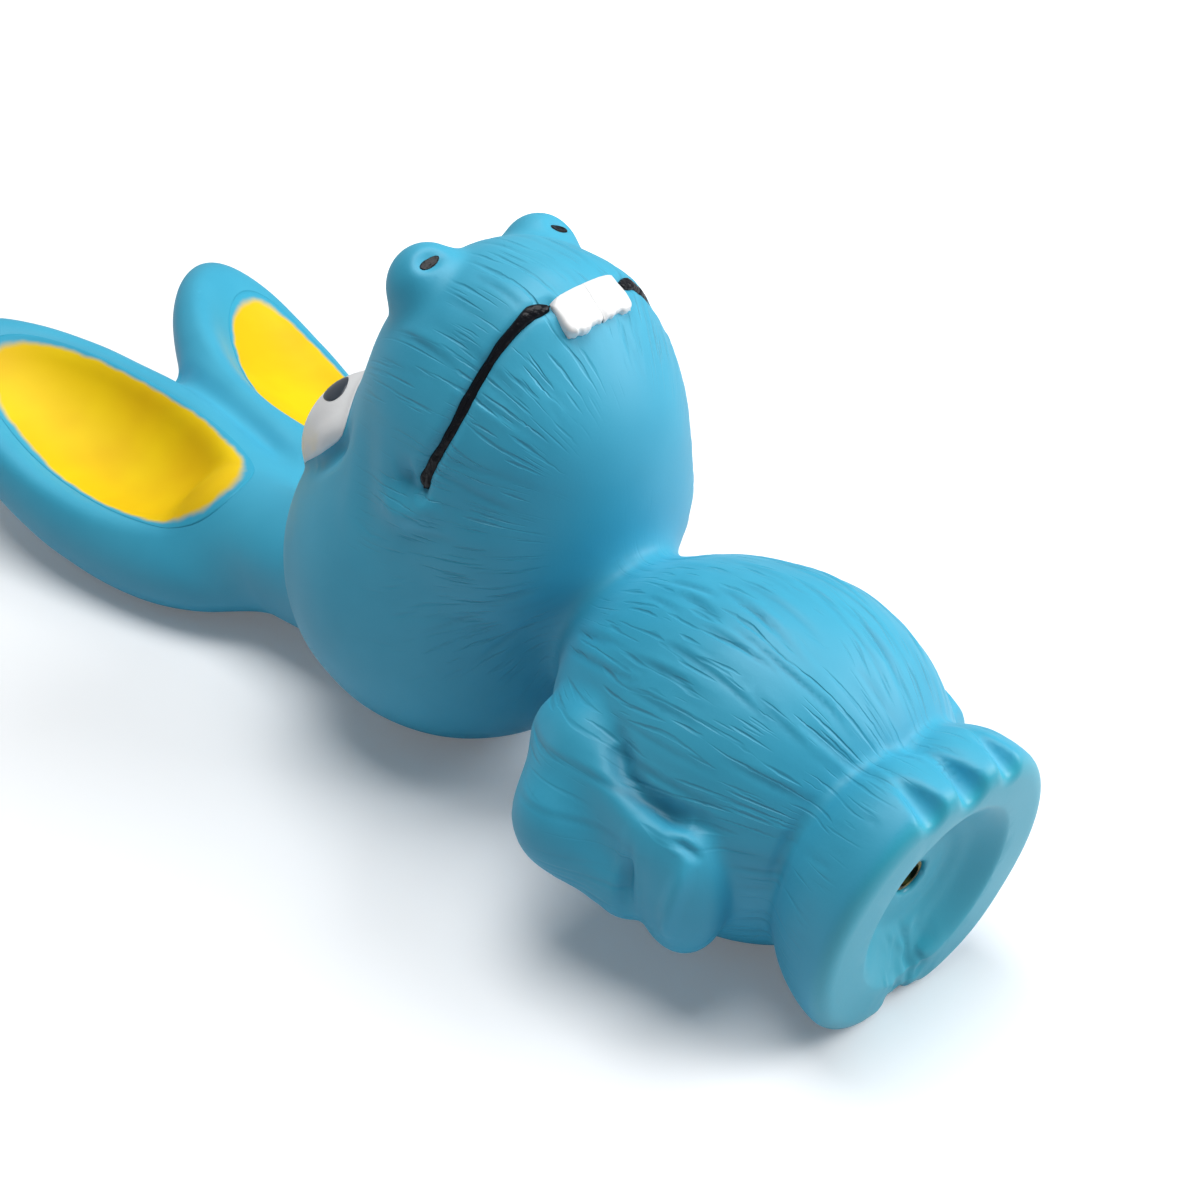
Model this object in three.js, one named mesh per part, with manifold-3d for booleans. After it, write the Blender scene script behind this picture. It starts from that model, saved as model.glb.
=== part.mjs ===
// A hollow latex rabbit that squeaks, lying on its back with its feet toward -Y.
// Millimetres. +X is the rabbit's left side, +Y runs from its sole to its ears, +Z is its front.
// Forms are placed along Y from the heels and rise from the surface that it lies on.
// The last lines centre the whole toy over its own box.
import * as THREE from 'three';
import { mergeGeometries, mergeVertices } from 'three/addons/utils/BufferGeometryUtils.js';
import Module from 'manifold-3d';

// Moulding
const wall = 2;
const clearance = 0.3;
const overrun = 6;
const restCut = 0.5;
const bodyBlend = 7;
const limbBlend = 3;
const pawBlend = 1.5;
const skinCell = 3.8;
const coreCell = 6.2;
const hollowAlong = 180;

// Skull, a ball that lies on the surface
const skullWidth = 59;
const skullLength = 59;
const skullDepth = 57;
const skullAlong = 90.1;

// Muzzle, the long snout that rises from the skull
const muzzleWidth = 46.4;
const muzzleLength = 49.4;
const muzzleDepth = 58;
const muzzleAlong = 77.3;
const muzzleRise = 53.2;
const headBlend = 12;
const jawWidth = 41.5;
const jawLength = 30;
const jawDepth = 32;
const jawAlong = 69;
const jawRise = 45;
const jawBlend = 4;
const lipWidth = 24;
const lipLength = 14;
const lipDepth = 18;
const lipAlong = 69.2;
const lipRise = 71.4;
const lipBlend = 5;

// Nostrils, each a mound with a painted spot
const moundApart = 20;
const moundAlong = 85.6;
const moundRise = 75.2;
const moundWidth = 11;
const moundLength = 12;
const moundDepth = 12;
const moundBlend = 3.5;
const nostrilApart = 22;
const nostrilAlong = 83.6;
const nostrilSize = 3;

// Eyes, each a leaning mound with a white skin and a pupil
const eyeApart = 21.6;
const eyeAlong = 102.6;
const eyeRise = 47.7;
const eyeWidth = 19;
const eyeLength = 24;
const eyeDepth = 15.8;
const eyeLean = 55;
const eyeBlend = 1.5;
const whiteWidth = 17.4;
const whiteLength = 21.4;
const pupilAcross = 4;
const pupilAhead = 6;
const pupilWidth = 5.2;
const pupilLength = 6;

// Teeth and the painted line of the mouth, which runs round the muzzle
const toothAlong = 80;
const toothWidth = 6.3;
const toothLength = 6.2;
const toothThick = 1.9;
const toothLean = 35;
const mouthWidth = 1.5;
const mouthDepth = 1;
const mouthStartAngle = 17;
const mouthEndAngle = 90;
const mouthStartAlong = 65.2;
const mouthEndAlong = 71;

// Torso and chest
const torsoWidth = 49.4;
const torsoLength = 52.4;
const torsoDepth = 50.8;
const torsoAlong = 27;
const torsoRise = 25.3;
const chestWidth = 40;
const chestLength = 38;
const chestDepth = 40;
const chestAlong = 40;
const chestRise = 25.5;

// Arms, from the shoulder round the elbow to the paw on the hip, with a fuller inner side
const shoulderApart = 37;
const shoulderAlong = 43.5;
const shoulderRise = 27;
const shoulderThick = 15;
const elbowApart = 48.4;
const elbowAlong = 37.5;
const elbowRise = 21;
const elbowThick = 15.2;
const wristApart = 46;
const wristAlong = 27;
const wristRise = 17.5;
const wristThick = 13;
const innerFromApart = 39;
const innerFromAlong = 37.5;
const innerFromRise = 28;
const innerFromThick = 15;
const innerToApart = 43;
const innerToAlong = 21;
const innerToRise = 24.5;
const innerToThick = 12.5;
const pawApart = 45.2;
const pawAlong = 19;
const pawRise = 20.4;
const pawWidth = 11.2;
const pawLength = 13.8;
const pawDepth = 20.6;

// Feet, the plane of the sole and the dished recess in it
const soleTilt = 9.6;
const footApart = 9.2;
const footAlong = -1;
const footRise = 19.8;
const footWidth = 32;
const footLength = 30.6;
const footDepth = 40.6;
const footYaw = 11.4;
const recessRise = 20;
const recessWidth = 26;
const recessLength = 30;
const recessDepth = 4.2;
const recessFloorShare = 0.5;
const toeApart = 15;
const toeRise = 39.5;
const toeNotch = 4.4;
const toeNotchLength = 9;
const valleyNotch = 5;
const valleyRise = 40;

// Ears, each a leaf that curls toward its tip, with a hollow front, on a round stem
const earApart = 26;
const earAlong = 125;
const earRise = 13.8;
const earLength = 93;
const earWidth = 39.4;
const earThick = 24.8;
const earSplay = 2.4;
const earPitch = -5.4;
const earRoll = 24.5;
const earCurl = 28.5;
const earBlend = 4;
const stemRootApart = 20;
const stemRootAlong = 112;
const stemRootRise = 17;
const stemTipApart = 25;
const stemTipAlong = 142;
const stemTipRise = 15;
const stemThick = 21;
const stemBlend = 10.5;
const dishAcross = -1.5;
const dishAlong = 51;
const dishRise = 13;
const dishWidth = 29;
const dishLength = 72;
const dishDepth = 22;
const dishRound = 4;
const liningWidth = 23.4;
const liningLength = 63;

// Paint skins
const paintThick = 0.5;
const paintGap = 0.35;

// Squeaker, measured from the floor of the recess into the toy
const boreRadius = 2.6;
const tubeRadius = 2.3;
const tubeWall = 0.5;
const tubeInset = 0.5;
const tubeRound = 5.2;
const tubeLength = 11.4;
const housingRadius = 6;
const housingWall = 1.2;
const housingBase = 1.4;
const housingLength = 13.5;
const collarWall = 1.8;
const collarLength = 6;
const capThick = 1.2;
const airHoles = 5;
const airHoleRadius = 0.8;
const airHoleRing = 2.9;
const tongueThick = 0.2;
const tongueWidth = 4;
const tongueRoot = 1.6;
const wedgeSide = 5;

// Finishes
const latexBlue = 0x45a6c4;
const earYellow = 0xf5d000;
const eyeWhite = 0xf2f2f2;
const pupilNavy = 0x2b3440;
const mouthBlack = 0x0b0e14;
const brass = 0x8a7a45;
const springBrass = 0xb9a05a;
const whitePlastic = 0xe8e6dc;

const wasm = await Module();
wasm.setup();

const axes = [0, 1, 2];
const toRadians = THREE.MathUtils.degToRad;
const { clamp, lerp } = THREE.MathUtils;
const vec = (x, y, z) => new THREE.Vector3(x, y, z);
const halves = (x, y, z) => new THREE.Vector3(x / 2, y / 2, z / 2);

// Distance fields. Each takes a point and gives how far it lies outside the form.
const local = new THREE.Vector3();
const mirrored = new THREE.Vector3();
const probe = new THREE.Vector3();

function egg(centre, radii, turn = new THREE.Matrix3()) {
  const back = turn.clone().transpose();
  const least = Math.min(radii.x, radii.y, radii.z);
  return (point) => {
    local.copy(point).sub(centre).applyMatrix3(back);
    const near = local.divide(radii).length();
    const steep = local.divide(radii).length();
    return steep > 0 ? (near * (near - 1)) / steep : -least;
  };
}

function limb(start, end, startRadius, endRadius) {
  const run = end.clone().sub(start);
  return (point) => {
    local.copy(point).sub(start);
    const share = clamp(local.dot(run) / run.lengthSq(), 0, 1);
    return local.addScaledVector(run, -share).length() - lerp(startRadius, endRadius, share);
  };
}

function melt(first, second, radius) {
  return (point) => {
    const a = first(point);
    const b = second(point);
    const h = clamp((1 + (b - a) / radius) / 2, 0, 1);
    return lerp(b, a, h) - radius * h * (1 - h);
  };
}

function carve(body, hollow, radius) {
  const outside = melt((point) => -body(point), hollow, radius);
  return (point) => -outside(point);
}

function bothSides(form) {
  return (point) => form(mirrored.set(Math.abs(point.x), point.y, point.z));
}

function meltSides(form, radius) {
  return melt(form, (point) => form(mirrored.set(-point.x, point.y, point.z)), radius);
}

function turnOf(pitch, roll, yaw) {
  const euler = new THREE.Euler(toRadians(pitch), toRadians(roll), toRadians(yaw), 'ZXY');
  return new THREE.Matrix3().setFromMatrix4(new THREE.Matrix4().makeRotationFromEuler(euler));
}

// The sole's plane passes through the heels, and its toes lean toward -Y
const soleOut = vec(0, -Math.cos(toRadians(soleTilt)), -Math.sin(toRadians(soleTilt)));
const soleUp = vec(0, -Math.sin(toRadians(soleTilt)), Math.cos(toRadians(soleTilt)));
const beyondSole = (point) => point.dot(soleOut);
const recessCentre = soleUp.clone().multiplyScalar(recessRise);

// The ear's own frame: x across it, y along it, z out of its front, which curls with y
const earTurn = turnOf(earPitch, earRoll, -earSplay);
const earBack = earTurn.clone().transpose();
const earRoot = vec(earApart / 2, earAlong, earRise);
const curlAt = (y) => (earCurl * y * Math.abs(y)) / earLength ** 2;

function earPoint(x, y, z) {
  return vec(x, y, z + curlAt(y)).applyMatrix3(earTurn).add(earRoot);
}

function earForm() {
  const leaf = egg(vec(0, earLength / 2, 0), halves(earWidth, earLength, earThick));
  const dish = egg(vec(dishAcross, dishAlong, dishRise), halves(dishWidth, dishLength, dishDepth));
  const blade = carve(leaf, dish, dishRound);
  const bent = vec(0, 0, 0);
  return (point) => {
    bent.copy(point).sub(earRoot).applyMatrix3(earBack);
    bent.z -= curlAt(bent.y);
    return blade(bent);
  };
}

function headForm() {
  const skull = egg(
    vec(0, skullAlong, skullDepth / 2 - restCut),
    halves(skullWidth, skullLength, skullDepth),
  );
  const muzzle = egg(
    vec(0, muzzleAlong, muzzleRise),
    halves(muzzleWidth, muzzleLength, muzzleDepth),
  );
  const mound = egg(
    vec(moundApart / 2, moundAlong, moundRise),
    halves(moundWidth, moundLength, moundDepth),
  );
  const eye = egg(
    vec(eyeApart / 2, eyeAlong, eyeRise),
    halves(eyeWidth, eyeLength, eyeDepth),
    turnOf(-eyeLean, 0, 0),
  );
  const jaw = egg(vec(0, jawAlong, jawRise), halves(jawWidth, jawLength, jawDepth));
  const lip = egg(vec(0, lipAlong, lipRise), halves(lipWidth, lipLength, lipDepth));
  const face = melt(melt(melt(skull, muzzle, headBlend), jaw, jawBlend), lip, lipBlend);
  const snout = melt(face, bothSides(mound), moundBlend);
  return melt(snout, bothSides(eye), eyeBlend);
}

function armForm() {
  const shoulder = vec(shoulderApart / 2, shoulderAlong, shoulderRise);
  const elbow = vec(elbowApart / 2, elbowAlong, elbowRise);
  const wrist = vec(wristApart / 2, wristAlong, wristRise);
  const upper = limb(shoulder, elbow, shoulderThick / 2, elbowThick / 2);
  const lower = limb(elbow, wrist, elbowThick / 2, wristThick / 2);
  const innerFrom = vec(innerFromApart / 2, innerFromAlong, innerFromRise);
  const innerTo = vec(innerToApart / 2, innerToAlong, innerToRise);
  const inner = limb(innerFrom, innerTo, innerFromThick / 2, innerToThick / 2);
  const paw = egg(vec(pawApart / 2, pawAlong, pawRise), halves(pawWidth, pawLength, pawDepth));
  const arm = melt(melt(upper, lower, limbBlend), inner, limbBlend);
  return bothSides(melt(arm, paw, pawBlend));
}

function footForm() {
  const foot = egg(
    vec(footApart / 2, footAlong, footRise),
    halves(footWidth, footLength, footDepth),
    turnOf(0, 0, footYaw),
  );
  return bothSides(foot);
}

const torso = egg(
  vec(0, torsoAlong, torsoRise),
  halves(torsoWidth, torsoLength, torsoDepth),
);
const chest = egg(
  vec(0, chestAlong, chestRise),
  halves(chestWidth, chestLength, chestDepth),
);
const stem = limb(
  vec(stemRootApart / 2, stemRootAlong, stemRootRise),
  vec(stemTipApart / 2, stemTipAlong, stemTipRise),
  stemThick / 2,
  stemThick / 2,
);
const ears = meltSides(melt(earForm(), stem, earBlend), stemBlend);
const trunk = melt(headForm(), melt(torso, chest, bodyBlend), bodyBlend);
const rabbit = melt(melt(melt(trunk, armForm(), limbBlend), footForm(), limbBlend), ears, earBlend);

// The hollow keeps the wall behind the skin, and ends in flats over the recess and at the ears
function hollowForm() {
  const floor = recessDepth + wall;
  const ends = (point) => Math.max(beyondSole(point) + floor, point.y - hollowAlong);
  return (point) => Math.max(rabbit(point) + wall, wall - restCut - point.z, ends(point));
}

// Skinning: one vertex in each cell of a grid that the surface crosses, drawn onto the surface,
// and a quad round each grid edge that it crosses
function skin(field, low, high, cell) {
  const counts = axes.map((n) => Math.ceil((high.getComponent(n) - low.getComponent(n)) / cell) + 1);
  const strides = [1, counts[0], counts[0] * counts[1]];
  const value = new Float64Array(counts[0] * counts[1] * counts[2]);
  const at = (place) => place[0] + place[1] * strides[1] + place[2] * strides[2];
  eachPlace(counts, 0, (place) => {
    probe.fromArray(place).multiplyScalar(cell).add(low);
    value[at(place)] = field(probe.clone());
  });
  const offsets = [0, 1, 2, 3, 4, 5, 6, 7].map((n) => [n & 1, (n >> 1) & 1, n >> 2]);
  clearPinches(value, counts, at, offsets);

  const vertexOf = new Int32Array(value.length).fill(-1);
  const positions = [];
  eachPlace(counts, 1, (place) => {
    const here = offsets.map((offset) => value[at(place) + at(offset)]);
    const middle = crossingMiddle(here, offsets);
    if (!middle) return;
    const floor = vec(...place).multiplyScalar(cell).add(low);
    const point = middle.multiplyScalar(cell).add(floor);
    drawOn(field, point, cell);
    const margin = cell / 25;
    const least = floor.clone().addScalar(margin);
    point.clamp(least, floor.clone().addScalar(cell - margin));
    vertexOf[at(place)] = positions.length / 3;
    positions.push(point.x, point.y, point.z);
  });

  const index = [];
  eachPlace(counts, 1, (place) => {
    const here = at(place);
    for (const axis of axes) {
      if (!place[(axis + 1) % 3] || !place[(axis + 2) % 3]) continue;
      const inside = value[here] < 0;
      if (inside === value[here + strides[axis]] < 0) continue;
      const side = strides[(axis + 1) % 3];
      const far = strides[(axis + 2) % 3];
      const quad = [here, here - side, here - side - far, here - far].map((n) => vertexOf[n]);
      addQuad(index, positions, inside ? quad : quad.reverse());
    }
  });
  return meshOf(positions, index);
}

function eachPlace(counts, margin, visit) {
  for (let k = 0; k < counts[2] - margin; k += 1) {
    for (let j = 0; j < counts[1] - margin; j += 1) {
      for (let i = 0; i < counts[0] - margin; i += 1) visit([i, j, k]);
    }
  }
}

function crossingMiddle(here, offsets) {
  const sum = vec(0, 0, 0);
  let crossed = 0;
  for (let a = 0; a < 8; a += 1) {
    for (const b of [a | 1, a | 2, a | 4]) {
      if (a === b || here[a] < 0 === here[b] < 0) continue;
      sum.add(vec(...offsets[a]).lerp(vec(...offsets[b]), here[a] / (here[a] - here[b])));
      crossed += 1;
    }
  }
  return crossed ? sum.divideScalar(crossed) : null;
}

// Corners that are inside but meet only across a diagonal would pinch the surface,
// so one more corner of such a cell is taken inside, until none is left
function clearPinches(value, counts, at, offsets) {
  const squares = [[0, 1, 3, 2], [0, 2, 6, 4], [0, 1, 5, 4]];
  const justInside = -Number.EPSILON;
  let changed = true;
  while (changed) {
    changed = false;
    eachPlace(counts, 1, (place) => {
      const cell = offsets.map((offset) => at(place) + at(offset));
      const inside = (n) => value[cell[n]] < 0;
      for (const [p, q, r, s] of squares) {
        if (inside(p) !== inside(r) || inside(q) !== inside(s) || inside(p) === inside(q)) continue;
        value[cell[inside(p) ? q : p]] = justInside;
        changed = true;
      }
      for (const n of [0, 1, 2, 3]) {
        const rest = [0, 1, 2, 3, 4, 5, 6, 7].filter((m) => m !== n && m !== 7 - n);
        if (inside(n) !== inside(7 - n) || rest.some((m) => inside(m) === inside(n))) continue;
        value[cell[inside(n) ? rest[0] : n]] = justInside;
        changed = true;
      }
    });
  }
}

// The field's slope at a point, over a short reach
function slopeAt(field, point, reach) {
  const slope = vec(0, 0, 0);
  for (const n of axes) {
    const ahead = point.clone().setComponent(n, point.getComponent(n) + reach);
    const behind = point.clone().setComponent(n, point.getComponent(n) - reach);
    slope.setComponent(n, (field(ahead) - field(behind)) / reach / 2);
  }
  return slope;
}

function drawOn(field, point, cell) {
  for (let step = 0; step < 3; step += 1) {
    const slope = slopeAt(field, point, cell / 8);
    point.addScaledVector(slope, -field(point) / Math.max(slope.lengthSq(), 0.5));
  }
}

function addQuad(index, positions, [a, b, c, d]) {
  const corner = (n) => vec(positions[n * 3], positions[n * 3 + 1], positions[n * 3 + 2]);
  const short = corner(a).distanceTo(corner(c)) < corner(b).distanceTo(corner(d));
  if (short) index.push(a, b, c, a, c, d);
  else index.push(a, b, d, b, c, d);
}

function meshOf(positions, index) {
  const geometry = new THREE.BufferGeometry();
  geometry.setAttribute('position', new THREE.Float32BufferAttribute(positions, 3));
  geometry.setIndex(index);
  return geometry;
}

// Paint skins and teeth: a round patch whose rays come in from its front onto the skin
function surfaceUnder(place, reach) {
  let high = reach;
  let low = reach;
  while (rabbit(place(low)) > 0 && low > -reach) {
    high = low;
    low -= clearance;
  }
  for (let step = 0; step < 20; step += 1) {
    const middle = (high + low) / 2;
    if (rabbit(place(middle)) > 0) high = middle;
    else low = middle;
  }
  const point = place(low);
  return { point, normal: slopeAt(rabbit, point, clearance / 3).normalize() };
}

function patch(place, reach, width, length, { gap, thick, crown = 0, square = 2, rings, sectors }) {
  const positions = [];
  const index = [];
  const spots = [[0, 0, 0]];
  for (let ring = 1; ring <= rings; ring += 1) {
    for (let n = 0; n < sectors; n += 1) {
      const angle = (n / sectors) * Math.PI * 2;
      const c = Math.cos(angle);
      const s = Math.sin(angle);
      const share = ring / rings / (Math.abs(c) ** square + Math.abs(s) ** square) ** (1 / square);
      spots.push([(c * share * width) / 2, (s * share * length) / 2, ring / rings]);
    }
  }
  const feet = spots.map(([u, v]) => surfaceUnder((h) => place(u, v, h), reach));
  feet.forEach(({ point, normal }, n) => {
    const height = gap + thick * (1 - crown * spots[n][2] ** 4);
    positions.push(...point.clone().addScaledVector(normal, height).toArray());
  });
  feet.forEach(({ point, normal }) => {
    positions.push(...point.clone().addScaledVector(normal, gap).toArray());
  });
  const under = spots.length;
  const spot = (ring, n) => 1 + (ring - 1) * sectors + (n % sectors);
  for (let n = 0; n < sectors; n += 1) {
    index.push(0, spot(1, n), spot(1, n + 1));
    index.push(under, under + spot(1, n + 1), under + spot(1, n));
    for (let ring = 1; ring < rings; ring += 1) {
      const [a, b, c, d] = [spot(ring, n), spot(ring + 1, n), spot(ring + 1, n + 1), spot(ring, n + 1)];
      index.push(a, b, c, a, c, d);
      index.push(under + a, under + c, under + b, under + a, under + d, under + c);
    }
    const [a, b] = [spot(rings, n), spot(rings, n + 1)];
    index.push(a, under + a, under + b, a, under + b, b);
  }
  return meshOf(positions, index);
}

function mirror(geometry) {
  const copy = geometry.clone().scale(-1, 1, 1);
  const order = Array.from(copy.index.array);
  for (let n = 0; n < order.length; n += 3) [order[n], order[n + 1]] = [order[n + 1], order[n]];
  copy.setIndex(order);
  return copy;
}

// A band along the mouth's line, between two heights over the skin
function mouthBand(width, low, high) {
  const steps = 22;
  const line = [];
  for (let n = 0; n <= steps; n += 1) {
    const share = n / steps;
    const angle = toRadians(lerp(mouthStartAngle, mouthEndAngle, share));
    const along = lerp(mouthStartAlong, mouthEndAlong, share);
    const place = (h) => vec(Math.sin(angle) * h, along, muzzleRise + Math.cos(angle) * h);
    line.push(surfaceUnder(place, muzzleDepth));
  }
  const positions = [];
  const index = [];
  line.forEach(({ point, normal }, n) => {
    const before = line[Math.max(n - 1, 0)].point;
    const after = line[Math.min(n + 1, steps)].point;
    const side = after.clone().sub(before).cross(normal).setLength(width / 2);
    for (const [sign, height] of [[-1, low], [1, low], [1, high], [-1, high]]) {
      const corner = point.clone().addScaledVector(normal, height).addScaledVector(side, sign);
      positions.push(...corner.toArray());
    }
  });
  for (let n = 0; n < steps; n += 1) {
    for (let m = 0; m < 4; m += 1) {
      const [a, b] = [n * 4 + m, n * 4 + ((m + 1) % 4)];
      index.push(a, b + 4, b, a, a + 4, b + 4);
    }
  }
  const last = steps * 4;
  index.push(0, 1, 2, 0, 2, 3, last, last + 2, last + 1, last, last + 3, last + 2);
  return meshOf(positions, index);
}

// Joins and cuts
function solidOf(geometry) {
  const bare = geometry.clone();
  bare.deleteAttribute('normal');
  bare.deleteAttribute('uv');
  const merged = mergeVertices(bare, clearance / 1000);
  const vertProperties = new Float32Array(merged.attributes.position.array);
  const triVerts = new Uint32Array(merged.index.array);
  return new wasm.Manifold(new wasm.Mesh({ numProp: 3, vertProperties, triVerts }));
}

function geometryOf(solid) {
  const { numProp, vertProperties, triVerts } = solid.getMesh();
  const positions = [];
  for (let n = 0; n < vertProperties.length; n += numProp) {
    positions.push(...vertProperties.slice(n, n + 3));
  }
  return meshOf(positions, Array.from(triVerts));
}

// Turns a form whose own z runs into the toy to stand on the floor of the recess
const squeakerTurn = new THREE.Euler(toRadians(soleTilt - 90), 0, 0);
const squeakerSeat = recessCentre.clone().addScaledVector(soleOut, -recessDepth);

function seated(geometry) {
  const matrix = new THREE.Matrix4().makeRotationFromEuler(squeakerTurn).setPosition(squeakerSeat);
  return geometry.clone().applyMatrix4(matrix);
}

// A ring turned about the squeaker's axis, from one height to another
function ring(inner, outer, from, to, sides = 28) {
  const profile = [[inner, from], [outer, from], [outer, to], [inner, to], [inner, from]];
  const lathe = new THREE.LatheGeometry(profile.map((p) => new THREE.Vector2(...p)), sides);
  return lathe.rotateX(Math.PI / 2);
}

function rod(radius, from, to, sides = 28) {
  const length = to - from;
  const cylinder = new THREE.CylinderGeometry(radius, radius, length, sides);
  return cylinder.rotateX(Math.PI / 2).translate(0, 0, from + length / 2);
}

function recessCutter() {
  const profile = [new THREE.Vector2(0, recessDepth)];
  const steps = 8;
  for (let n = 0; n <= steps; n += 1) {
    const angle = (n / steps) * (Math.PI / 2);
    const reach = lerp(recessFloorShare, 1, Math.sin(angle));
    profile.push(new THREE.Vector2(reach, recessDepth * Math.cos(angle)));
  }
  profile.push(new THREE.Vector2(1, -overrun), new THREE.Vector2(0, -overrun));
  const lathe = new THREE.LatheGeometry(profile.reverse(), 36).rotateX(Math.PI / 2);
  lathe.scale(recessWidth / 2, recessLength / 2, 1).translate(0, 0, -recessDepth);
  return seated(lathe);
}

// Each notch between the toes is a cone that opens at the sole and ends on top of the foot
const toeNotches = [
  [-toeApart / 2, toeRise, toeNotch],
  [0, valleyRise, valleyNotch],
  [toeApart / 2, toeRise, toeNotch],
];

function notchCutter(x, rise, width) {
  const length = toeNotchLength * 2;
  const cone = new THREE.ConeGeometry(width, length, 14).rotateX(Math.PI / 2);
  return seated(cone.translate(x, recessRise - rise, toeNotchLength - length / 2 - recessDepth));
}

function latexShell() {
  const reach = skullWidth;
  const low = vec(-reach, -footLength, -overrun);
  const high = vec(reach, earAlong + earLength + overrun, muzzleRise + muzzleDepth);
  const far = (high.y - low.y) * 2;
  let shell = solidOf(skin(rabbit, low, high, skinCell));
  const outside = new THREE.BoxGeometry(far, far, far).translate(0, 0, -far / 2 - recessDepth);
  const under = new THREE.BoxGeometry(far, far, far).translate(0, 0, -far / 2);
  shell = shell.subtract(solidOf(seated(outside))).subtract(solidOf(under));
  shell = shell.subtract(solidOf(recessCutter()));
  shell = shell.subtract(solidOf(skin(hollowForm(), low, high, coreCell)));
  const collarInner = housingRadius + clearance;
  const collarOuter = collarInner + collarWall;
  const collarEnd = wall + collarLength;
  shell = shell.add(solidOf(seated(rod(collarOuter, wall / 2, collarEnd))));
  shell = shell.subtract(solidOf(seated(rod(collarInner, wall, collarEnd + overrun))));
  shell = shell.subtract(solidOf(seated(rod(boreRadius, -overrun, wall + overrun))));
  for (const [x, rise, width] of toeNotches) {
    shell = shell.subtract(solidOf(notchCutter(x, rise, width)));
  }
  const groove = mouthBand(mouthWidth + clearance * 2, -mouthDepth, overrun / 2);
  return geometryOf(shell.subtract(solidOf(groove)).subtract(solidOf(mirror(groove))));
}

// Squeaker pieces, along their own z
const housingFrom = wall + clearance;
const housingTo = housingFrom + housingLength;
const roomRadius = housingRadius - housingWall;

function squeakerHousing() {
  const base = housingFrom + housingBase;
  const hole = tubeRadius + clearance;
  const profile = [
    [hole, housingFrom],
    [housingRadius, housingFrom],
    [housingRadius, housingTo],
    [roomRadius, housingTo],
    [roomRadius, base],
    [hole, base],
    [hole, housingFrom],
  ];
  const lathe = new THREE.LatheGeometry(profile.map((p) => new THREE.Vector2(...p)), 28);
  return lathe.rotateX(Math.PI / 2);
}

function squeakerCap() {
  const disc = new THREE.Shape().absarc(0, 0, roomRadius - clearance, 0, Math.PI * 2);
  for (let n = 0; n < airHoles; n += 1) {
    const angle = (n / airHoles) * Math.PI * 2;
    const x = Math.cos(angle) * airHoleRing;
    const y = Math.sin(angle) * airHoleRing;
    disc.holes.push(new THREE.Path().absarc(x, y, airHoleRadius, 0, Math.PI * 2, true));
  }
  const plate = new THREE.ExtrudeGeometry(disc, { depth: capThick, bevelEnabled: false, curveSegments: 14 });
  return plate.translate(0, 0, housingTo - capThick);
}

// The brass tube is whole where it passes the latex and a half channel under the tongue
function reedTube() {
  const inner = tubeRadius - tubeWall;
  let tube = solidOf(ring(inner, tubeRadius, tubeInset, tubeLength, 20));
  tube = tube.add(solidOf(rod(tubeRadius, tubeLength - tubeWall, tubeLength, 20)));
  const span = tubeRadius * 2 + overrun;
  const half = new THREE.BoxGeometry(span, span, tubeLength).translate(0, span / 2, tubeRound + tubeLength / 2);
  return geometryOf(tube.subtract(solidOf(half)));
}

const tongueFrom = tubeRound + clearance;
const tongueHinge = tongueFrom + tongueRoot;

function reedTongue() {
  const length = tubeLength - tongueFrom;
  const leaf = new THREE.BoxGeometry(tongueWidth, tongueThick, length);
  return leaf.translate(0, clearance + tongueThick / 2, tongueFrom + length / 2);
}

// The wedge holds the root of the tongue down and fills the room above it
function reedWedge() {
  const low = clearance * 2 + tongueThick;
  const radius = roomRadius - clearance;
  const side = wedgeSide / 2;
  const top = Math.sqrt(radius ** 2 - side ** 2);
  const lean = Math.atan2(top, side);
  const shape = new THREE.Shape();
  shape.moveTo(-side, low);
  shape.lineTo(side, low);
  shape.lineTo(side, top);
  shape.absarc(0, 0, radius, lean, Math.PI - lean, false);
  shape.lineTo(-side, low);
  const block = new THREE.ExtrudeGeometry(shape, { depth: tongueRoot, bevelEnabled: false, curveSegments: 8 });
  return block.translate(0, 0, tongueFrom);
}

// Paint and teeth
const skinPaint = { gap: paintGap, thick: paintThick };

function earLining() {
  const place = (u, v, h) => earPoint(dishAcross + u, dishAlong + v, h);
  return patch(place, earThick, liningWidth, liningLength, { ...skinPaint, rings: 7, sectors: 32 });
}

// A flat frame that leans by an angle from the front toward the ears
function leaning(centre, degrees) {
  const angle = toRadians(degrees);
  return (u, v, h) => vec(
    centre.x + u,
    centre.y + v * Math.cos(angle) + h * Math.sin(angle),
    centre.z - v * Math.sin(angle) + h * Math.cos(angle),
  );
}

const eyeFrame = leaning(vec(eyeApart / 2, eyeAlong, eyeRise), eyeLean);
const pupilFrame = (u, v, h) => eyeFrame(u + pupilAcross, v - pupilAhead, h);
const nostrilFrame = leaning(vec(nostrilApart / 2, nostrilAlong, muzzleRise), 0);
const toothFrame = leaning(vec((toothWidth + clearance) / 2, toothAlong, muzzleRise), -toothLean);

function eyeSkin() {
  return patch(eyeFrame, eyeDepth * 2, whiteWidth, whiteLength, { ...skinPaint, rings: 5, sectors: 24 });
}

function pupilSkin() {
  const over = { gap: paintGap * 2 + paintThick, thick: paintThick };
  return patch(pupilFrame, eyeDepth * 2, pupilWidth, pupilLength, { ...over, rings: 3, sectors: 18 });
}

function nostrilSpot() {
  return patch(nostrilFrame, muzzleDepth, nostrilSize, nostrilSize, { ...skinPaint, rings: 2, sectors: 14 });
}

function toothBlock() {
  const form = { gap: paintGap, thick: toothThick, crown: 0.45, square: 4, rings: 5, sectors: 24 };
  return patch(toothFrame, muzzleDepth, toothWidth, toothLength, form);
}

function mouthLine() {
  return mouthBand(mouthWidth, clearance - mouthDepth, -clearance);
}

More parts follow.
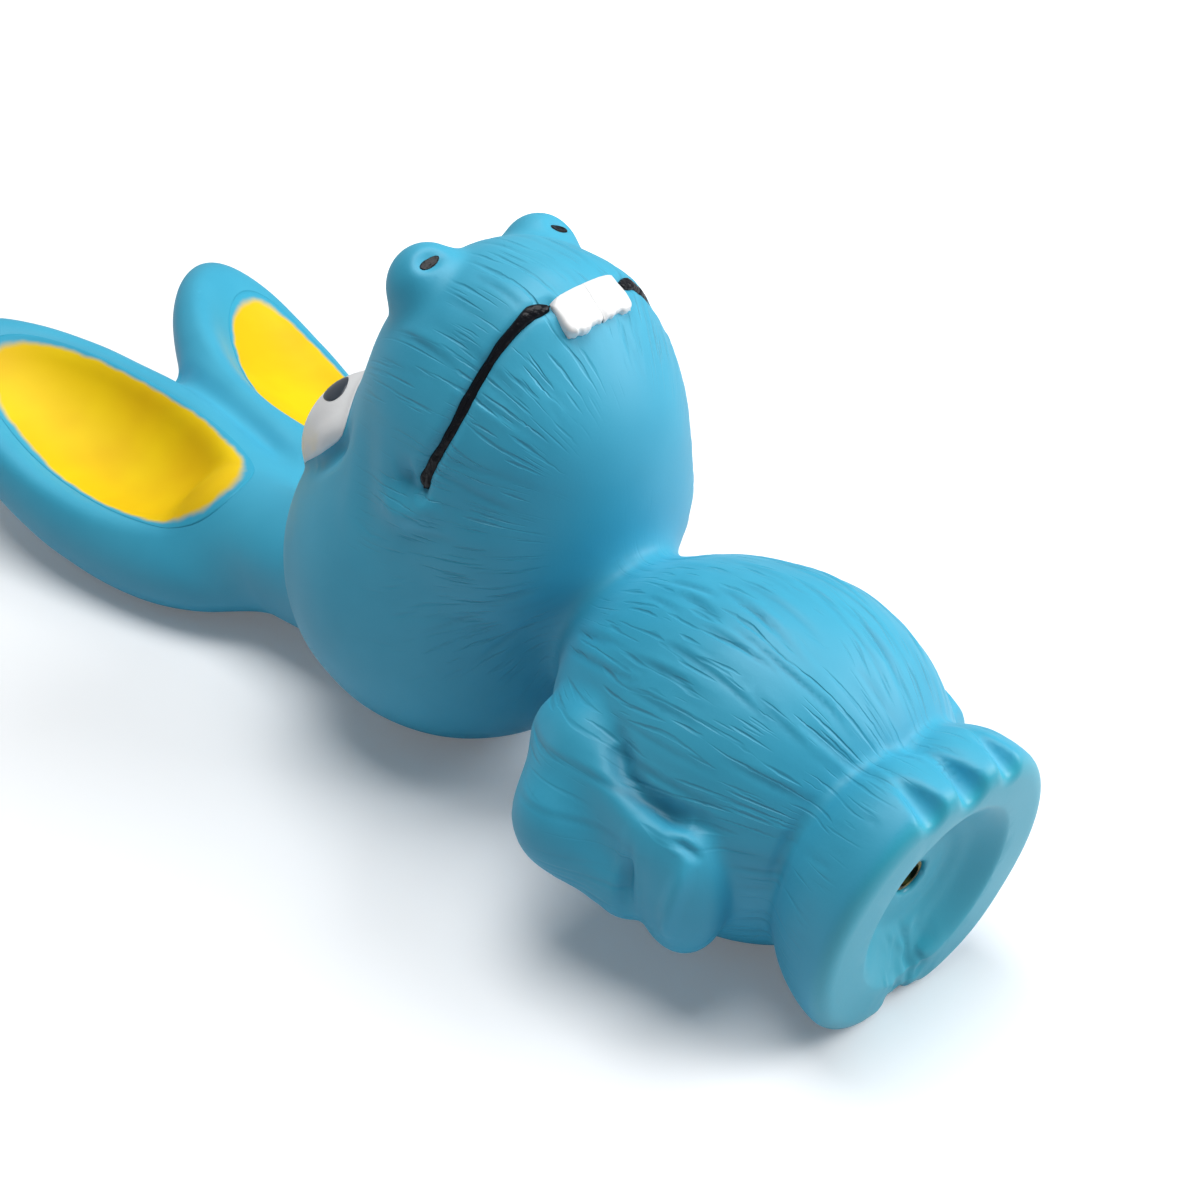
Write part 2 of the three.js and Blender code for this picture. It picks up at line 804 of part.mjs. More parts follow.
// Assembly
function material(color, roughness, metalness = 0) {
  return new THREE.MeshStandardMaterial({ color, roughness, metalness });
}

const latex = material(latexBlue, 0.6);
const yellowPaint = material(earYellow, 0.5);
const whitePaint = material(eyeWhite, 0.45);
const navyPaint = material(pupilNavy, 0.4);
const blackPaint = material(mouthBlack, 0.25);
const tubeBrass = material(brass, 0.4, 1);
const leafBrass = material(springBrass, 0.3, 1);
const plastic = material(whitePlastic, 0.5);

const toy = new THREE.Group();

function addPiece(name, geometry, finish, parent = toy) {
  const piece = new THREE.Mesh(geometry, finish);
  piece.name = name;
  parent.add(piece);
  return piece;
}

function addPair(name, geometry, finish) {
  addPiece(`${name}_left`, geometry, finish);
  addPiece(`${name}_right`, mirror(geometry), finish);
}

addPiece('latex_shell', latexShell(), latex);
addPair('ear_lining', earLining(), yellowPaint);
addPair('eye_white', eyeSkin(), whitePaint);
addPair('pupil', pupilSkin(), navyPaint);
addPair('nostril', nostrilSpot(), blackPaint);
addPair('tooth', toothBlock(), whitePaint);
addPair('mouth_line', mouthLine(), blackPaint);

const squeaker = new THREE.Group();
squeaker.rotation.copy(squeakerTurn);
squeaker.position.copy(squeakerSeat);
toy.add(squeaker);
addPiece('squeaker_housing', squeakerHousing(), plastic, squeaker);
addPiece('squeaker_cap', squeakerCap(), plastic, squeaker);
addPiece('reed_tube', reedTube(), tubeBrass, squeaker);
addPiece('reed_wedge', reedWedge(), plastic, squeaker);
addPiece('reed_tongue', reedTongue(), leafBrass, squeaker);

const bounds = new THREE.Box3().setFromObject(toy, true);
toy.position.y = -(bounds.min.y + bounds.max.y) / 2;
toy.updateMatrixWorld(true);

export default toy;
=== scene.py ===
import math

import bpy
import numpy as np
from mathutils import Matrix, Vector
from mathutils.bvhtree import BVHTree


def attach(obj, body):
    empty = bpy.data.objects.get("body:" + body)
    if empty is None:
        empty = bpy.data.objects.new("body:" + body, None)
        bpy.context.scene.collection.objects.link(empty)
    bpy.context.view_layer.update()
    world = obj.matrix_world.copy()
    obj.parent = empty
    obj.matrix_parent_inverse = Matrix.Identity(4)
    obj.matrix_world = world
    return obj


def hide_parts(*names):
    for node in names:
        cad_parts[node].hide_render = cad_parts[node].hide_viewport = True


print("frame")
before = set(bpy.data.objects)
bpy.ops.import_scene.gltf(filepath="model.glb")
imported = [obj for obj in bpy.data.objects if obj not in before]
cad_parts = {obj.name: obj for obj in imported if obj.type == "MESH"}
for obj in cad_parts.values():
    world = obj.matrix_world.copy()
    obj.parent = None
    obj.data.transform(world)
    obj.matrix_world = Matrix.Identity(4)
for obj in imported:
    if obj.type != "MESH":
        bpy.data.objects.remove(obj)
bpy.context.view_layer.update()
heelToMiddle = 106.217  # mm from the heels to the frame's origin, along the toy
sameCorner = 2e-6  # metres, under which two corners of a CAD mesh are one


# Places on the toy are written in mm from the heels, as they are measured on it
def toFrame(points):
    return (np.asarray(points, float) - (0, heelToMiddle, 0)) / 1000


def toToy(points):
    return np.asarray(points, float) * 1000 + (0, heelToMiddle, 0)


# The two halves of the toy folded together, onto the rabbit's left
def foldSides(points):
    return np.column_stack((np.abs(points[:, 0]), points[:, 1:]))


def smoothStep(low, high, value):
    share = np.clip((value - low) / (high - low), 0, 1)
    return share * share * (3 - 2 * share)


def pickOnly(obj):
    bpy.ops.object.select_all(action="DESELECT")
    obj.select_set(True)
    bpy.context.view_layer.objects.active = obj


# One edit-mode operator on a whole mesh
def editAll(obj, operator, **settings):
    pickOnly(obj)
    bpy.ops.object.mode_set(mode="EDIT")
    bpy.ops.mesh.select_all(action="SELECT")
    operator(**settings)
    bpy.ops.object.mode_set(mode="OBJECT")


def applyModifier(obj, kind, **settings):
    pickOnly(obj)
    modifier = obj.modifiers.new(kind.title(), kind)
    for key, value in settings.items():
        setattr(modifier, key, value)
    bpy.ops.object.modifier_apply(modifier=modifier.name)


def readPlaces(obj):
    places = np.empty(len(obj.data.vertices) * 3, np.float32)
    obj.data.vertices.foreach_get("co", places)
    return places.reshape(-1, 3).astype(float)


def writePlaces(obj, places):
    obj.data.vertices.foreach_set("co", places.astype(np.float32).ravel())
    obj.data.update()


def readNormals(obj):
    normals = np.empty(len(obj.data.vertices) * 3, np.float32)
    obj.data.vertex_normals.foreach_get("vector", normals)
    return normals.reshape(-1, 3).astype(float)


def writeAttribute(obj, name, values):
    kind, field = ("FLOAT", "value") if values.ndim == 1 else ("FLOAT_VECTOR", "vector")
    attribute = obj.data.attributes.new(name, kind, "POINT")
    attribute.data.foreach_set(field, values.astype(np.float32).ravel())


def shadeSmooth(obj):
    obj.data.polygons.foreach_set("use_smooth", [True] * len(obj.data.polygons))
    obj.data.update()


# A copy of a CAD node, with its doubles merged
def copyOfNode(node, name):
    obj = bpy.data.objects.new(name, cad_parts[node].data.copy())
    bpy.context.scene.collection.objects.link(obj)
    editAll(obj, bpy.ops.mesh.remove_doubles, threshold=sameCorner)
    return obj


def deleteFaces(obj, test):
    pickOnly(obj)
    bpy.ops.object.mode_set(mode="EDIT")
    bpy.ops.mesh.select_all(action="DESELECT")
    bpy.ops.mesh.select_mode(type="FACE")
    bpy.ops.object.mode_set(mode="OBJECT")
    for face in obj.data.polygons:
        face.select = test(face)
    bpy.ops.object.mode_set(mode="EDIT")
    bpy.ops.mesh.delete(type="FACE")
    bpy.ops.object.mode_set(mode="OBJECT")


# Materials
def toLinear(code):
    parts = [int(code[i : i + 2], 16) / 255 for i in (1, 3, 5)]
    return [c / 12.92 if c <= 0.04045 else ((c + 0.055) / 1.055) ** 2.4 for c in parts] + [1]


def addNode(tree, kind, settings=None, inputs=None):
    node = tree.nodes.new(kind)
    for key, value in (settings or {}).items():
        setattr(node, key, value)
    for key, value in (inputs or {}).items():
        if isinstance(value, bpy.types.NodeSocket):
            tree.links.new(value, node.inputs[key])
        else:
            node.inputs[key].default_value = value
    return node


def newMaterial(name, settings):
    material = bpy.data.materials.new(name)
    material.use_nodes = True
    shader = material.node_tree.nodes["Principled BSDF"]
    for key, value in settings.items():
        shader.inputs[key].default_value = value
    return material, material.node_tree, shader


def giveMaterial(obj, material):
    obj.data.materials.clear()
    obj.data.materials.append(material)


# Forms that the latex is drawn onto, each given by how far a point lies outside it. An egg is written as
# its middle and size, a limb as its ends and the thickness at each, and a melt is the width over which
# a form runs into the one before it, all in mm.
def turnOf(pitch, roll, yaw):
    order = ((yaw, "Z"), (pitch, "X"), (roll, "Y"))
    first, second, third = [Matrix.Rotation(math.radians(angle), 3, axis) for angle, axis in order]
    return np.array(first @ second @ third)


def egg(points, middle, size, turn=np.eye(3)):
    radii = np.asarray(size) / 2
    local = (points - middle) @ turn / radii
    near = np.linalg.norm(local, axis=1)
    return near * (near - 1) / (np.linalg.norm(local / radii, axis=1) + 1e-9)


def limb(points, start, end, startThick, endThick):
    start, run = np.asarray(start, float), np.subtract(end, start)
    share = np.clip((points - start) @ run / (run @ run), 0, 1)
    away = np.linalg.norm(points - start - share[:, None] * run, axis=1)
    return away - (startThick * (1 - share) + endThick * share) / 2


def melt(first, second, radius):
    share = np.clip((1 + (second - first) / radius) / 2, 0, 1)
    return second * (1 - share) + first * share - radius * share * (1 - share)


def carve(form, hollow, radius):
    return -melt(-form, hollow, radius)


eyeMoundSpec = {
    "eggs": (((10.8, 102.6, 47.7), (19, 24, 15.8)), ((13.3, 97.6, 49.7), (17, 16, 11))),
    "lean": -55,  # degrees about the toy's width
    "melt": 2,
}
eyeMiddle = eyeMoundSpec["eggs"][0][0]
eyeTurn = turnOf(eyeMoundSpec["lean"], 0, 0)


def eyeForm(folded):
    first, second = [egg(folded, *spec, eyeTurn) for spec in eyeMoundSpec["eggs"]]
    return melt(first, second, eyeMoundSpec["melt"])


headSpec = {
    "skull": ((0, 90.1, 28), (59, 59, 57)),
    "muzzle": ((0, 77.3, 53.2), (46.4, 49.4, 58)),
    "jaw": ((0, 69, 45), (41.5, 30, 32)),
    "lip": ((0, 69.2, 71.4), (24, 14, 18)),
    "nostrilMound": ((9.9, 85.8, 75.6), (11.6, 12.2, 12.6)),
    "melts": {"muzzle": 12, "jaw": 4, "lip": 5, "nostrilMound": 2.4, "eye": 1.2},
}


def headForm(folded):
    melts = headSpec["melts"]
    form = egg(folded, *headSpec["skull"])
    for name in ("muzzle", "jaw", "lip", "nostrilMound"):
        form = melt(form, egg(folded, *headSpec[name]), melts[name])
    return melt(form, eyeForm(folded), melts["eye"])


armSpec = {
    "upper": ((18.3, 42.8, 27), (24.2, 37.0, 21), 14.2, 15.4),
    "lower": ((24.2, 37.5, 21), (23, 27, 17.5), 15.2, 13),
    "inner": ((19.8, 37.5, 29), (21.7, 21, 25.2), 15, 12.5),
    "paw": ((22.6, 19, 20.4), (11.2, 13.8, 20.6)),
    "melts": {"lower": 3, "inner": 3, "paw": 1.4},
}


def armForm(folded):
    melts = armSpec["melts"]
    form = limb(folded, *armSpec["upper"])
    for name in ("lower", "inner"):
        form = melt(form, limb(folded, *armSpec[name]), melts[name])
    return melt(form, egg(folded, *armSpec["paw"]), melts["paw"])


earSpec = {
    "root": np.array((13, 125, 13.8)),
    "turn": turnOf(-5.4, 24.5, -2.4),
    "curl": 28.5 / 93**2,  # the tip curls up by 28.5 mm over the ear's 93 mm
    "leaf": ((0, 46.5, 0), (39.4, 93, 24.8)),
    "dish": ((-1.5, 51, 13), (29, 72, 22)),
    "stem": ((10, 112, 17), (12.5, 142, 15), 21, 21),
    "melts": {"dish": 4, "stem": 4, "otherEar": 10.5},
}


def earForm(points):
    melts = earSpec["melts"]
    local = (points - earSpec["root"]) @ earSpec["turn"]
    local[:, 2] -= earSpec["curl"] * local[:, 1] * np.abs(local[:, 1])
    blade = carve(egg(local, *earSpec["leaf"]), egg(local, *earSpec["dish"]), melts["dish"])
    return melt(blade, limb(points, *earSpec["stem"]), melts["stem"])


# The sole is a tilted flat with a dished recess, and three notches above it part the toes
recessSpec = {
    "tilt": 9.6,  # degrees
    "rise": 20, "width": 26, "length": 30, "depth": 4.2, "rim": 2.4,
    "floorShare": 0.42, "wallPower": 1.5,
}
toeSpec = {
    "notches": ((7.4, 40.2, 2.5, 3.6), (0, 39.5, 2.5, 3.2)),  # across, up the sole, half width and height
    "run": 9.5,  # mm that a notch runs back from the sole
    "steepness": 2.2, "melt": 0.8,
}
soleTilt = math.radians(recessSpec["tilt"])
intoToy = np.array((0, math.cos(soleTilt), math.sin(soleTilt)))
soleUp = np.array((0, -math.sin(soleTilt), math.cos(soleTilt)))


# How far up from the recess's middle, in from the sole, and out over the recess, which is 1 at its edge
def atSole(folded):
    up = folded @ soleUp - recessSpec["rise"]
    reach = np.hypot(folded[:, 0] / recessSpec["width"] * 2, up / recessSpec["length"] * 2)
    return up, folded @ intoToy, reach


trunkSpec = {
    "torso": ((0, 27, 25.3), (49.4, 52.4, 50.8)),
    "chest": ((0, 40, 25.5), (40, 38, 40)),
    "foot": ((4.6, -1, 19.8), (32, 30.6, 40.6)),
    "footYaw": 11.4,  # degrees
    "melts": {"chest": 7, "neck": 7, "arm": 1.6, "foot": 1.8, "ears": 4, "back": 0.5},
}
footTurn = turnOf(0, 0, trunkSpec["footYaw"])


def toyForm(points):
    folded = foldSides(points)
    melts = trunkSpec["melts"]
    torso = melt(egg(folded, *trunkSpec["torso"]), egg(folded, *trunkSpec["chest"]), melts["chest"])
    ears = melt(earForm(points), earForm(points * (-1, 1, 1)), earSpec["melts"]["otherEar"])
    form = melt(headForm(folded), torso, melts["neck"])
    form = melt(form, armForm(folded), melts["arm"])
    form = melt(form, egg(folded, *trunkSpec["foot"], footTurn), melts["foot"])
    form = melt(form, ears, melts["ears"])
    up, deep, reach = atSole(folded)
    wallShare = np.clip(reach - recessSpec["floorShare"], 0, 1) / (1 - recessSpec["floorShare"])
    bowl = np.clip(1 - wallShare**2, 0, 1) ** recessSpec["wallPower"]
    bowl = np.where(reach > 1, 0, bowl) * recessSpec["depth"]
    form = carve(form, deep - bowl, recessSpec["rim"])
    for across, rise, wide, tall in toeSpec["notches"]:
        apart = np.hypot((folded[:, 0] - across) / wide, (up + recessSpec["rise"] - rise) / tall)
        notch = (apart - (1 - deep / toeSpec["run"])) * toeSpec["steepness"]
        form = carve(form, notch, toeSpec["melt"])
    return carve(form, points[:, 2], melts["back"])


def slopeOf(form, points, reach=0.12):
    slope = np.zeros_like(points)
    for corner in np.array(((1, 1, 1), (1, -1, -1), (-1, 1, -1), (-1, -1, 1))):
        slope += form(points + corner * reach)[:, None] * corner
    return slope / (4 * reach)


print("latex body")
bodySpec = {
    "voxel": 0.45, "quickVoxel": 0.7,  # mm
    "faces": 196000,
    "squeakerSeat": (0, 0.806, 20.42),
    "room": 11, "roomFrom": 1.9, "roomTo": 16,  # the squeaker's room, whose walls never show
    "boreReach": 3.0, "boreAlong": 4,  # the tube's hole, which stays as the CAD has it
    "drawSteps": 5, "leastSlope": 0.3, "longestStep": 1.2,
}


# How far out from the squeaker's axis, and how far along it from its seat
def fromSeat(points):
    offset = points - bodySpec["squeakerSeat"]
    return np.linalg.norm(np.cross(offset, intoToy), axis=-1), offset @ intoToy


def insideSqueakerRoom(face):
    across, deep = fromSeat(toToy(face.center))
    return across < bodySpec["room"] and bodySpec["roomFrom"] < deep < bodySpec["roomTo"]


# The skin of the CAD shell, without its hollow, is remeshed finely and then drawn onto the forms
body = copyOfNode("latex_shell", "LatexBody")
deleteFaces(body, insideSqueakerRoom)
editAll(body, bpy.ops.mesh.separate, type="LOOSE")
loose = [o for o in bpy.context.selected_objects if o.name.startswith("LatexBody")]
body = max(loose, key=lambda o: o.dimensions.z)
for other in loose:
    if other is not body:
        bpy.data.objects.remove(other)
body.name = "LatexBody"
editAll(body, bpy.ops.mesh.fill_holes, sides=0)
voxel = bodySpec["voxel"]
applyModifier(body, "REMESH", mode="VOXEL", voxel_size=voxel / 1000)
print("  faces:", len(body.data.polygons))

points = toToy(readPlaces(body))
axisReach, alongAxis = fromSeat(points)
atBore = (axisReach < bodySpec["boreReach"]) & (np.abs(alongAxis) < bodySpec["boreAlong"])
for step in range(bodySpec["drawSteps"]):
    slope = slopeOf(toyForm, points)
    steep = np.maximum((slope**2).sum(axis=1), bodySpec["leastSlope"])
    move = np.clip(toyForm(points) / steep, -bodySpec["longestStep"], bodySpec["longestStep"])
    move[atBore] = 0
    points -= slope * move[:, None]
print("  drawn on, mean miss in mm:", round(float(np.abs(toyForm(points))[~atBore].mean()), 4))


# Smooth noise on a plane, from a table of fixed random numbers
noiseSize = 64
noiseTable = np.random.RandomState(7).rand(noiseSize, noiseSize)


def planeNoise(u, v):
    cellU, cellV = np.floor(u).astype(int), np.floor(v).astype(int)
    shareU, shareV = smoothStep(0, 1, u - cellU), smoothStep(0, 1, v - cellV)
    corner = [[noiseTable[(cellU + i) % noiseSize, (cellV + j) % noiseSize] for j in (0, 1)] for i in (0, 1)]
    low = corner[0][0] * (1 - shareU) + corner[1][0] * shareU
    high = corner[0][1] * (1 - shareU) + corner[1][1] * shareU
    return (low * (1 - shareV) + high * shareV) * 2 - 1


# Distance to a line of places, and the share of its length at the nearest one
def alongPath(points, path):
    path = np.asarray(path, float)
    lengths = np.linalg.norm(np.diff(path, axis=0), axis=1)
    passed = np.concatenate(((0,), np.cumsum(lengths)))
    best, share = np.full(len(points), np.inf), np.zeros(len(points))
    for n, length in enumerate(lengths):
        run = path[n + 1] - path[n]
        part = np.clip((points - path[n]) @ run / length**2, 0, 1)
        away = np.linalg.norm(points - path[n] - part[:, None] * run, axis=1)
        closer = away < best
        best[closer] = away[closer]
        share[closer] = (passed[n] + part[closer] * length) / passed[-1]
    return best, share


print("  sculpting")
slope = slopeOf(toyForm, points)
normals = slope / np.maximum(np.linalg.norm(slope, axis=1), 1e-6)[:, None]
folded = foldSides(points)
x, y, z = points.T.copy()
up, inward, recessReach = atSole(folded)
inSole = smoothStep(5.5, 4.5, inward)
depth = np.zeros(len(points))

# Carved strokes that fan out of the neck. A cell of turn (radians) and reach (mm) holds one.
furSpec = {
    "torso": {"axis": 26, "turn": 0.1, "reach": 10, "depth": 0.25, "width": 0.5, "seed": 11, "radius": 25},
    "head": {"axis": 48, "turn": 0.1, "reach": 9, "depth": 0.12, "width": 0.48, "seed": 23, "radius": 36},
    "neck": (0, 53, 42), "headFrom": 54, "rows": 40,
    "shiftTurn": 0.45, "shiftReach": 0.5,  # cells, either way
    "halves": (0.3, 1.0), "widths": (0.6, 1.2), "depths": (0.05, 1),  # shares, the last one squared
    "slant": 0.2, "bend": 0.008,
    "lip": 0.5, "lipAway": 2.1, "lipWidth": 1.2,  # the raised lip beside a cut, in shares of the cut
    "outwardShare": 0.75,  # of the strokes, with the lip on the same side
}
# Where the strokes begin and where they are full, in mm, or in shares of the recess. For the arms it is
# where the strokes start to get shallower, and where they are shallow.
fadeSpec = {
    "torsoToNeck": (53.5, 46), "torsoToSole": (3, 7), "torsoToFoot": (5, 11), "recess": (0.95, 1.1),
    "headToNeck": (54.5, 62), "headToEyes": (93, 72), "headToBack": (16, 34), "underside": (4, 16),
    "nostrilMound": (6, 11), "paw": (5, 9), "arm": (10.5, 8.5),
}
moundMiddle, moundStretch = (10.5, 85.5, 76), (1, 1, 1.1)
pawMiddle, pawStretch = (23.5, 17, 20), (1, 1, 1.5)
armPath = [(19.5, 42, 29), (24.2, 36, 22), (23, 24, 20)]


def strokes(spec):
    turn, radius = np.arctan2(x, z - spec["axis"]), np.hypot(x, z - spec["axis"])
    reach = np.linalg.norm(points - furSpec["neck"], axis=1)
    around = round(math.tau / spec["turn"])
    step, shape = math.tau / around, (around, furSpec["rows"])
    chance = np.random.RandomState(spec["seed"])
    shiftTurn = chance.uniform(-furSpec["shiftTurn"], furSpec["shiftTurn"], shape)
    shiftReach = chance.uniform(-furSpec["shiftReach"], furSpec["shiftReach"], shape)
    half = chance.uniform(*furSpec["halves"], shape) * spec["reach"]
    wide = chance.uniform(*furSpec["widths"], shape) * spec["width"]
    deep = chance.uniform(*furSpec["depths"], shape) ** 2 * spec["depth"]
    slant = chance.uniform(-furSpec["slant"], furSpec["slant"], shape)
    way = np.where(chance.uniform(0, 1, shape) < furSpec["outwardShare"], 1, -1)
    bend = chance.uniform(-furSpec["bend"], furSpec["bend"], shape)
    cellTurn, cellReach = np.floor(turn / step).astype(int), np.floor(reach / spec["reach"]).astype(int)
    cut = np.zeros(len(points))
    for i in (-1, 0, 1):
        for j in (-1, 0, 1):
            at = (cellTurn + i) % around, np.clip(cellReach + j, 0, furSpec["rows"] - 1)
            middle = (cellTurn + i + 0.5 + shiftTurn[at]) * step
            along = reach - (cellReach + j + 0.5 + shiftReach[at]) * spec["reach"]
            across = (turn - middle) * radius - slant[at] * along - bend[at] * along**2
            taper = np.clip(1 - (along / half[at]) ** 2, 0, 1)
            share = way[at] * across / wide[at]
            lip = furSpec["lip"] * np.exp(-(((share - furSpec["lipAway"]) / furSpec["lipWidth"]) ** 2))
            cut += deep[at] * (np.exp(-(share**2)) - lip) * taper
    return cut


torsoShare = smoothStep(*fadeSpec["torsoToNeck"], y) * smoothStep(*fadeSpec["torsoToSole"], inward)
torsoShare *= 0.5 + 0.5 * smoothStep(*fadeSpec["torsoToFoot"], y)
torsoShare *= smoothStep(*fadeSpec["recess"], recessReach + 0.1 * np.clip(inward - 6, 0, 9))
torsoShare *= smoothStep(*fadeSpec["paw"], np.linalg.norm((folded - pawMiddle) / pawStretch, axis=1))
headShare = smoothStep(*fadeSpec["headToNeck"], y) * smoothStep(*fadeSpec["headToBack"], z)
headShare *= smoothStep(*fadeSpec["headToEyes"], y + 0.3 * (60 - z))
moundAway = np.linalg.norm((folded - moundMiddle) / moundStretch, axis=1)
headShare *= smoothStep(*fadeSpec["nostrilMound"], moundAway)
armShare = smoothStep(*fadeSpec["arm"], alongPath(folded, armPath)[0])
under = smoothStep(*fadeSpec["underside"], z)
# Shallower on the arms, which keep their smooth outline
for name, share in (("torso", torsoShare), ("head", headShare)):
    depth += strokes(furSpec[name]) * share * under * (1 - 0.5 * armShare)
# Painted shade: the latex is coloured darker where the strokes are carved
paintedShade = np.clip(depth, 0, None)

# Slow unevenness of the moulding: ripples that run with the strokes, and waves all over
rippleSpec = ((7, 9, 20, 0.07), (15, 3, 11, 0.05))  # cells a radian, shift, mm a cell, mm high
waveSpec = {"length": 9, "height": 0.08}
onHead = y >= furSpec["headFrom"]
turn = np.arctan2(x, z - np.where(onHead, furSpec["head"]["axis"], furSpec["torso"]["axis"]))
reach = np.linalg.norm(points - furSpec["neck"], axis=1)
furShare = (torsoShare + headShare) * under
for cells, shift, long, tall in rippleSpec:
    depth += planeNoise(turn * cells + shift, reach / long) * tall * furShare * (1 - armShare)
depth += planeNoise(x / waveSpec["length"] + 20, (y + z) / waveSpec["length"]) * waveSpec["height"]

# The ears part in a soft valley that runs down to the head
valleySpec = {"depth": 2.0, "width": 2.6, "start": (140, 152), "end": (191, 184), "upward": (0.1, 0.5)}
valley = np.exp(-((x / valleySpec["width"]) ** 2)) * smoothStep(*valleySpec["start"], y)
valley *= smoothStep(*valleySpec["end"], y) * smoothStep(*valleySpec["upward"], normals[:, 2])
depth += valleySpec["depth"] * valley

# Grooves, creases and folds, as lines of places on the rabbit's left in mm, mirrored to its right
mouthPath = [
    (5.8, 65.0, 77.8), (8.0, 66.0, 77.0), (10.5, 66.2, 75.5), (12.8, 66.5, 73.8), (14.9, 66.8, 71.7),
    (16.7, 67.1, 69.3), (18.4, 67.5, 66.5), (19.9, 68.2, 63.5), (20.9, 69.0, 61.2), (21.7, 70.1, 58.8),
    (22.3, 71.2, 56.1), (22.6, 71.4, 54.2),
]
creaseSpec = {
    "mouth": {"path": mouthPath, "width": 1.0, "depth": 1.0, "lip": 0.12, "even": True},
    "cheekPit": {"path": [(22.9, 72.6, 55.6), (23.4, 76.4, 54.2)], "width": 2.0, "depth": 1.3, "lip": 0.0},
    "cheekFold": {
        "path": [(24.4, 78.5, 51.0), (23.9, 75.1, 49.6), (22.9, 71.8, 50.4), (21.6, 68.4, 53.4)],
        "width": 1.9, "depth": -1.0, "lip": 0.0,
    },
    "cheekLine": {
        "path": [(23.4, 85, 60), (25.3, 82.5, 52), (26.3, 80.5, 44)],
        "width": 2.6, "depth": 0.4, "lip": 0.12,
    },
    "eyeFold": {
        "path": [(20.2, 100.4, 46.4), (20.8, 97.0, 48.8), (21.1, 93.2, 52.2), (20.8, 91.6, 54.6)],
        "width": 1.8, "depth": 1.3, "lip": 0.12,
    },
    "finger": {
        "path": [(25.5, 18.4, 28.9), (25.0, 16.8, 28.8), (24.3, 14.9, 27.9)],
        "width": 0.55, "depth": 0.9, "lip": 0.15,
    },
    "pawRidge": {
        "path": [(25.6, 15.4, 28.2), (26.5, 15.4, 25.2), (27.5, 15.9, 21.0), (27.6, 16.6, 15.5)],
        "width": 1.2, "depth": -1.1, "lip": 0.0,
    },
    "armEdge": {
        "path": [
            (22.5, 31.8, 35.0), (23.8, 28.6, 32.3), (24.1, 24.6, 30.9), (23.9, 20.4, 30.6), (22.9, 17.0, 31.0),
        ],
        "width": 1.5, "depth": 2.5, "lip": 0.1,
    },
    "cuff": {
        "path": [(24.8, 22.4, 29.4), (26.6, 22.8, 25.6), (27.6, 23.2, 21.5), (28.2, 23.2, 16.5)],
        "width": 0.9, "depth": 0.8, "lip": 0.3,
    },
    "footFold": {
        "path": [(14.9, 7.3, 33.0), (16.4, 7.7, 30.1), (17.4, 8.0, 26.5), (17.9, 8.2, 22.8)],
        "width": 0.8, "depth": 0.4, "lip": 0.1,
    },
    "nickHip": {"path": [(22.7, 10.9, 24.6), (21.8, 9.6, 24.4)], "width": 0.35, "depth": 0.5, "lip": 0.0},
}
creaseShape = {
    "reach": 6,  # mm past a line's box, where its groove has ended
    "taper": 0.6, "leastTaper": 0.25,
    "lipAway": 2, "lipWidth": 0.8,  # in widths of the groove
    "paintedShade": 0.18,
}
for spec in creaseSpec.values():
    path = np.array(spec["path"], float)
    low, high = path.min(axis=0) - creaseShape["reach"], path.max(axis=0) + creaseShape["reach"]
    near = np.all((folded > low) & (folded < high), axis=1)
    away, share = alongPath(folded[near], path)
    away /= spec["width"]
    taper = np.clip(4 * share * (1 - share), 0, 1) ** creaseShape["taper"]
    taper = 1.0 if "even" in spec else np.maximum(taper, creaseShape["leastTaper"])
    groove = np.exp(-(away**2)) * taper
    lip = np.exp(-(((away - creaseShape["lipAway"]) / creaseShape["lipWidth"]) ** 2)) * taper
    depth[near] += spec["depth"] * groove - spec["lip"] * lip
    # Painted shade: the latex is also coloured darker along each groove and crease
    paintedShade[near] += np.clip(creaseShape["paintedShade"] * spec["depth"] * groove, 0, None)

# Nostrils are small pits in their mounds
nostrilSpec = {"middle": (11.5, 83.2, 80.6), "size": (2.0, 1.4, 1.7), "depth": 1.0}
pit = (((folded - nostrilSpec["middle"]) / nostrilSpec["size"]) ** 2).sum(axis=1)
depth += nostrilSpec["depth"] * np.exp(-(pit**1.5))

# The sole: a faint ring in the recess, and a soft valley with wrinkles between the heels
ringSpec = {"reach": 0.62, "width": 0.07, "height": 0.16}
heelSpec = {
    "width": 3.2, "start": (-9, -14), "depth": 0.9,
    "wrinkleWidth": 4.2, "wrinkleStart": (-7, -11), "wrinkleDepth": 0.5,
}
ringAway = (recessReach - ringSpec["reach"]) / ringSpec["width"]
depth -= ringSpec["height"] * np.exp(-(ringAway**2)) * inSole
heelShare = np.exp(-((x / heelSpec["width"]) ** 2)) * smoothStep(*heelSpec["start"], up) * inSole
depth += heelSpec["depth"] * heelShare
wrinkleShare = np.exp(-((x / heelSpec["wrinkleWidth"]) ** 2)) * inSole
wrinkleShare *= smoothStep(*heelSpec["wrinkleStart"], up)
wrinkle = planeNoise(x * 1.1 + planeNoise(up / 2.5, x / 3) * 1.3, up * 0.45 + 30)  # about 1 mm by 2 mm, bent
depth += heelSpec["wrinkleDepth"] * wrinkle * wrinkleShare
depth[atBore] = 0
writePlaces(body, toFrame(points - normals * depth[:, None]))
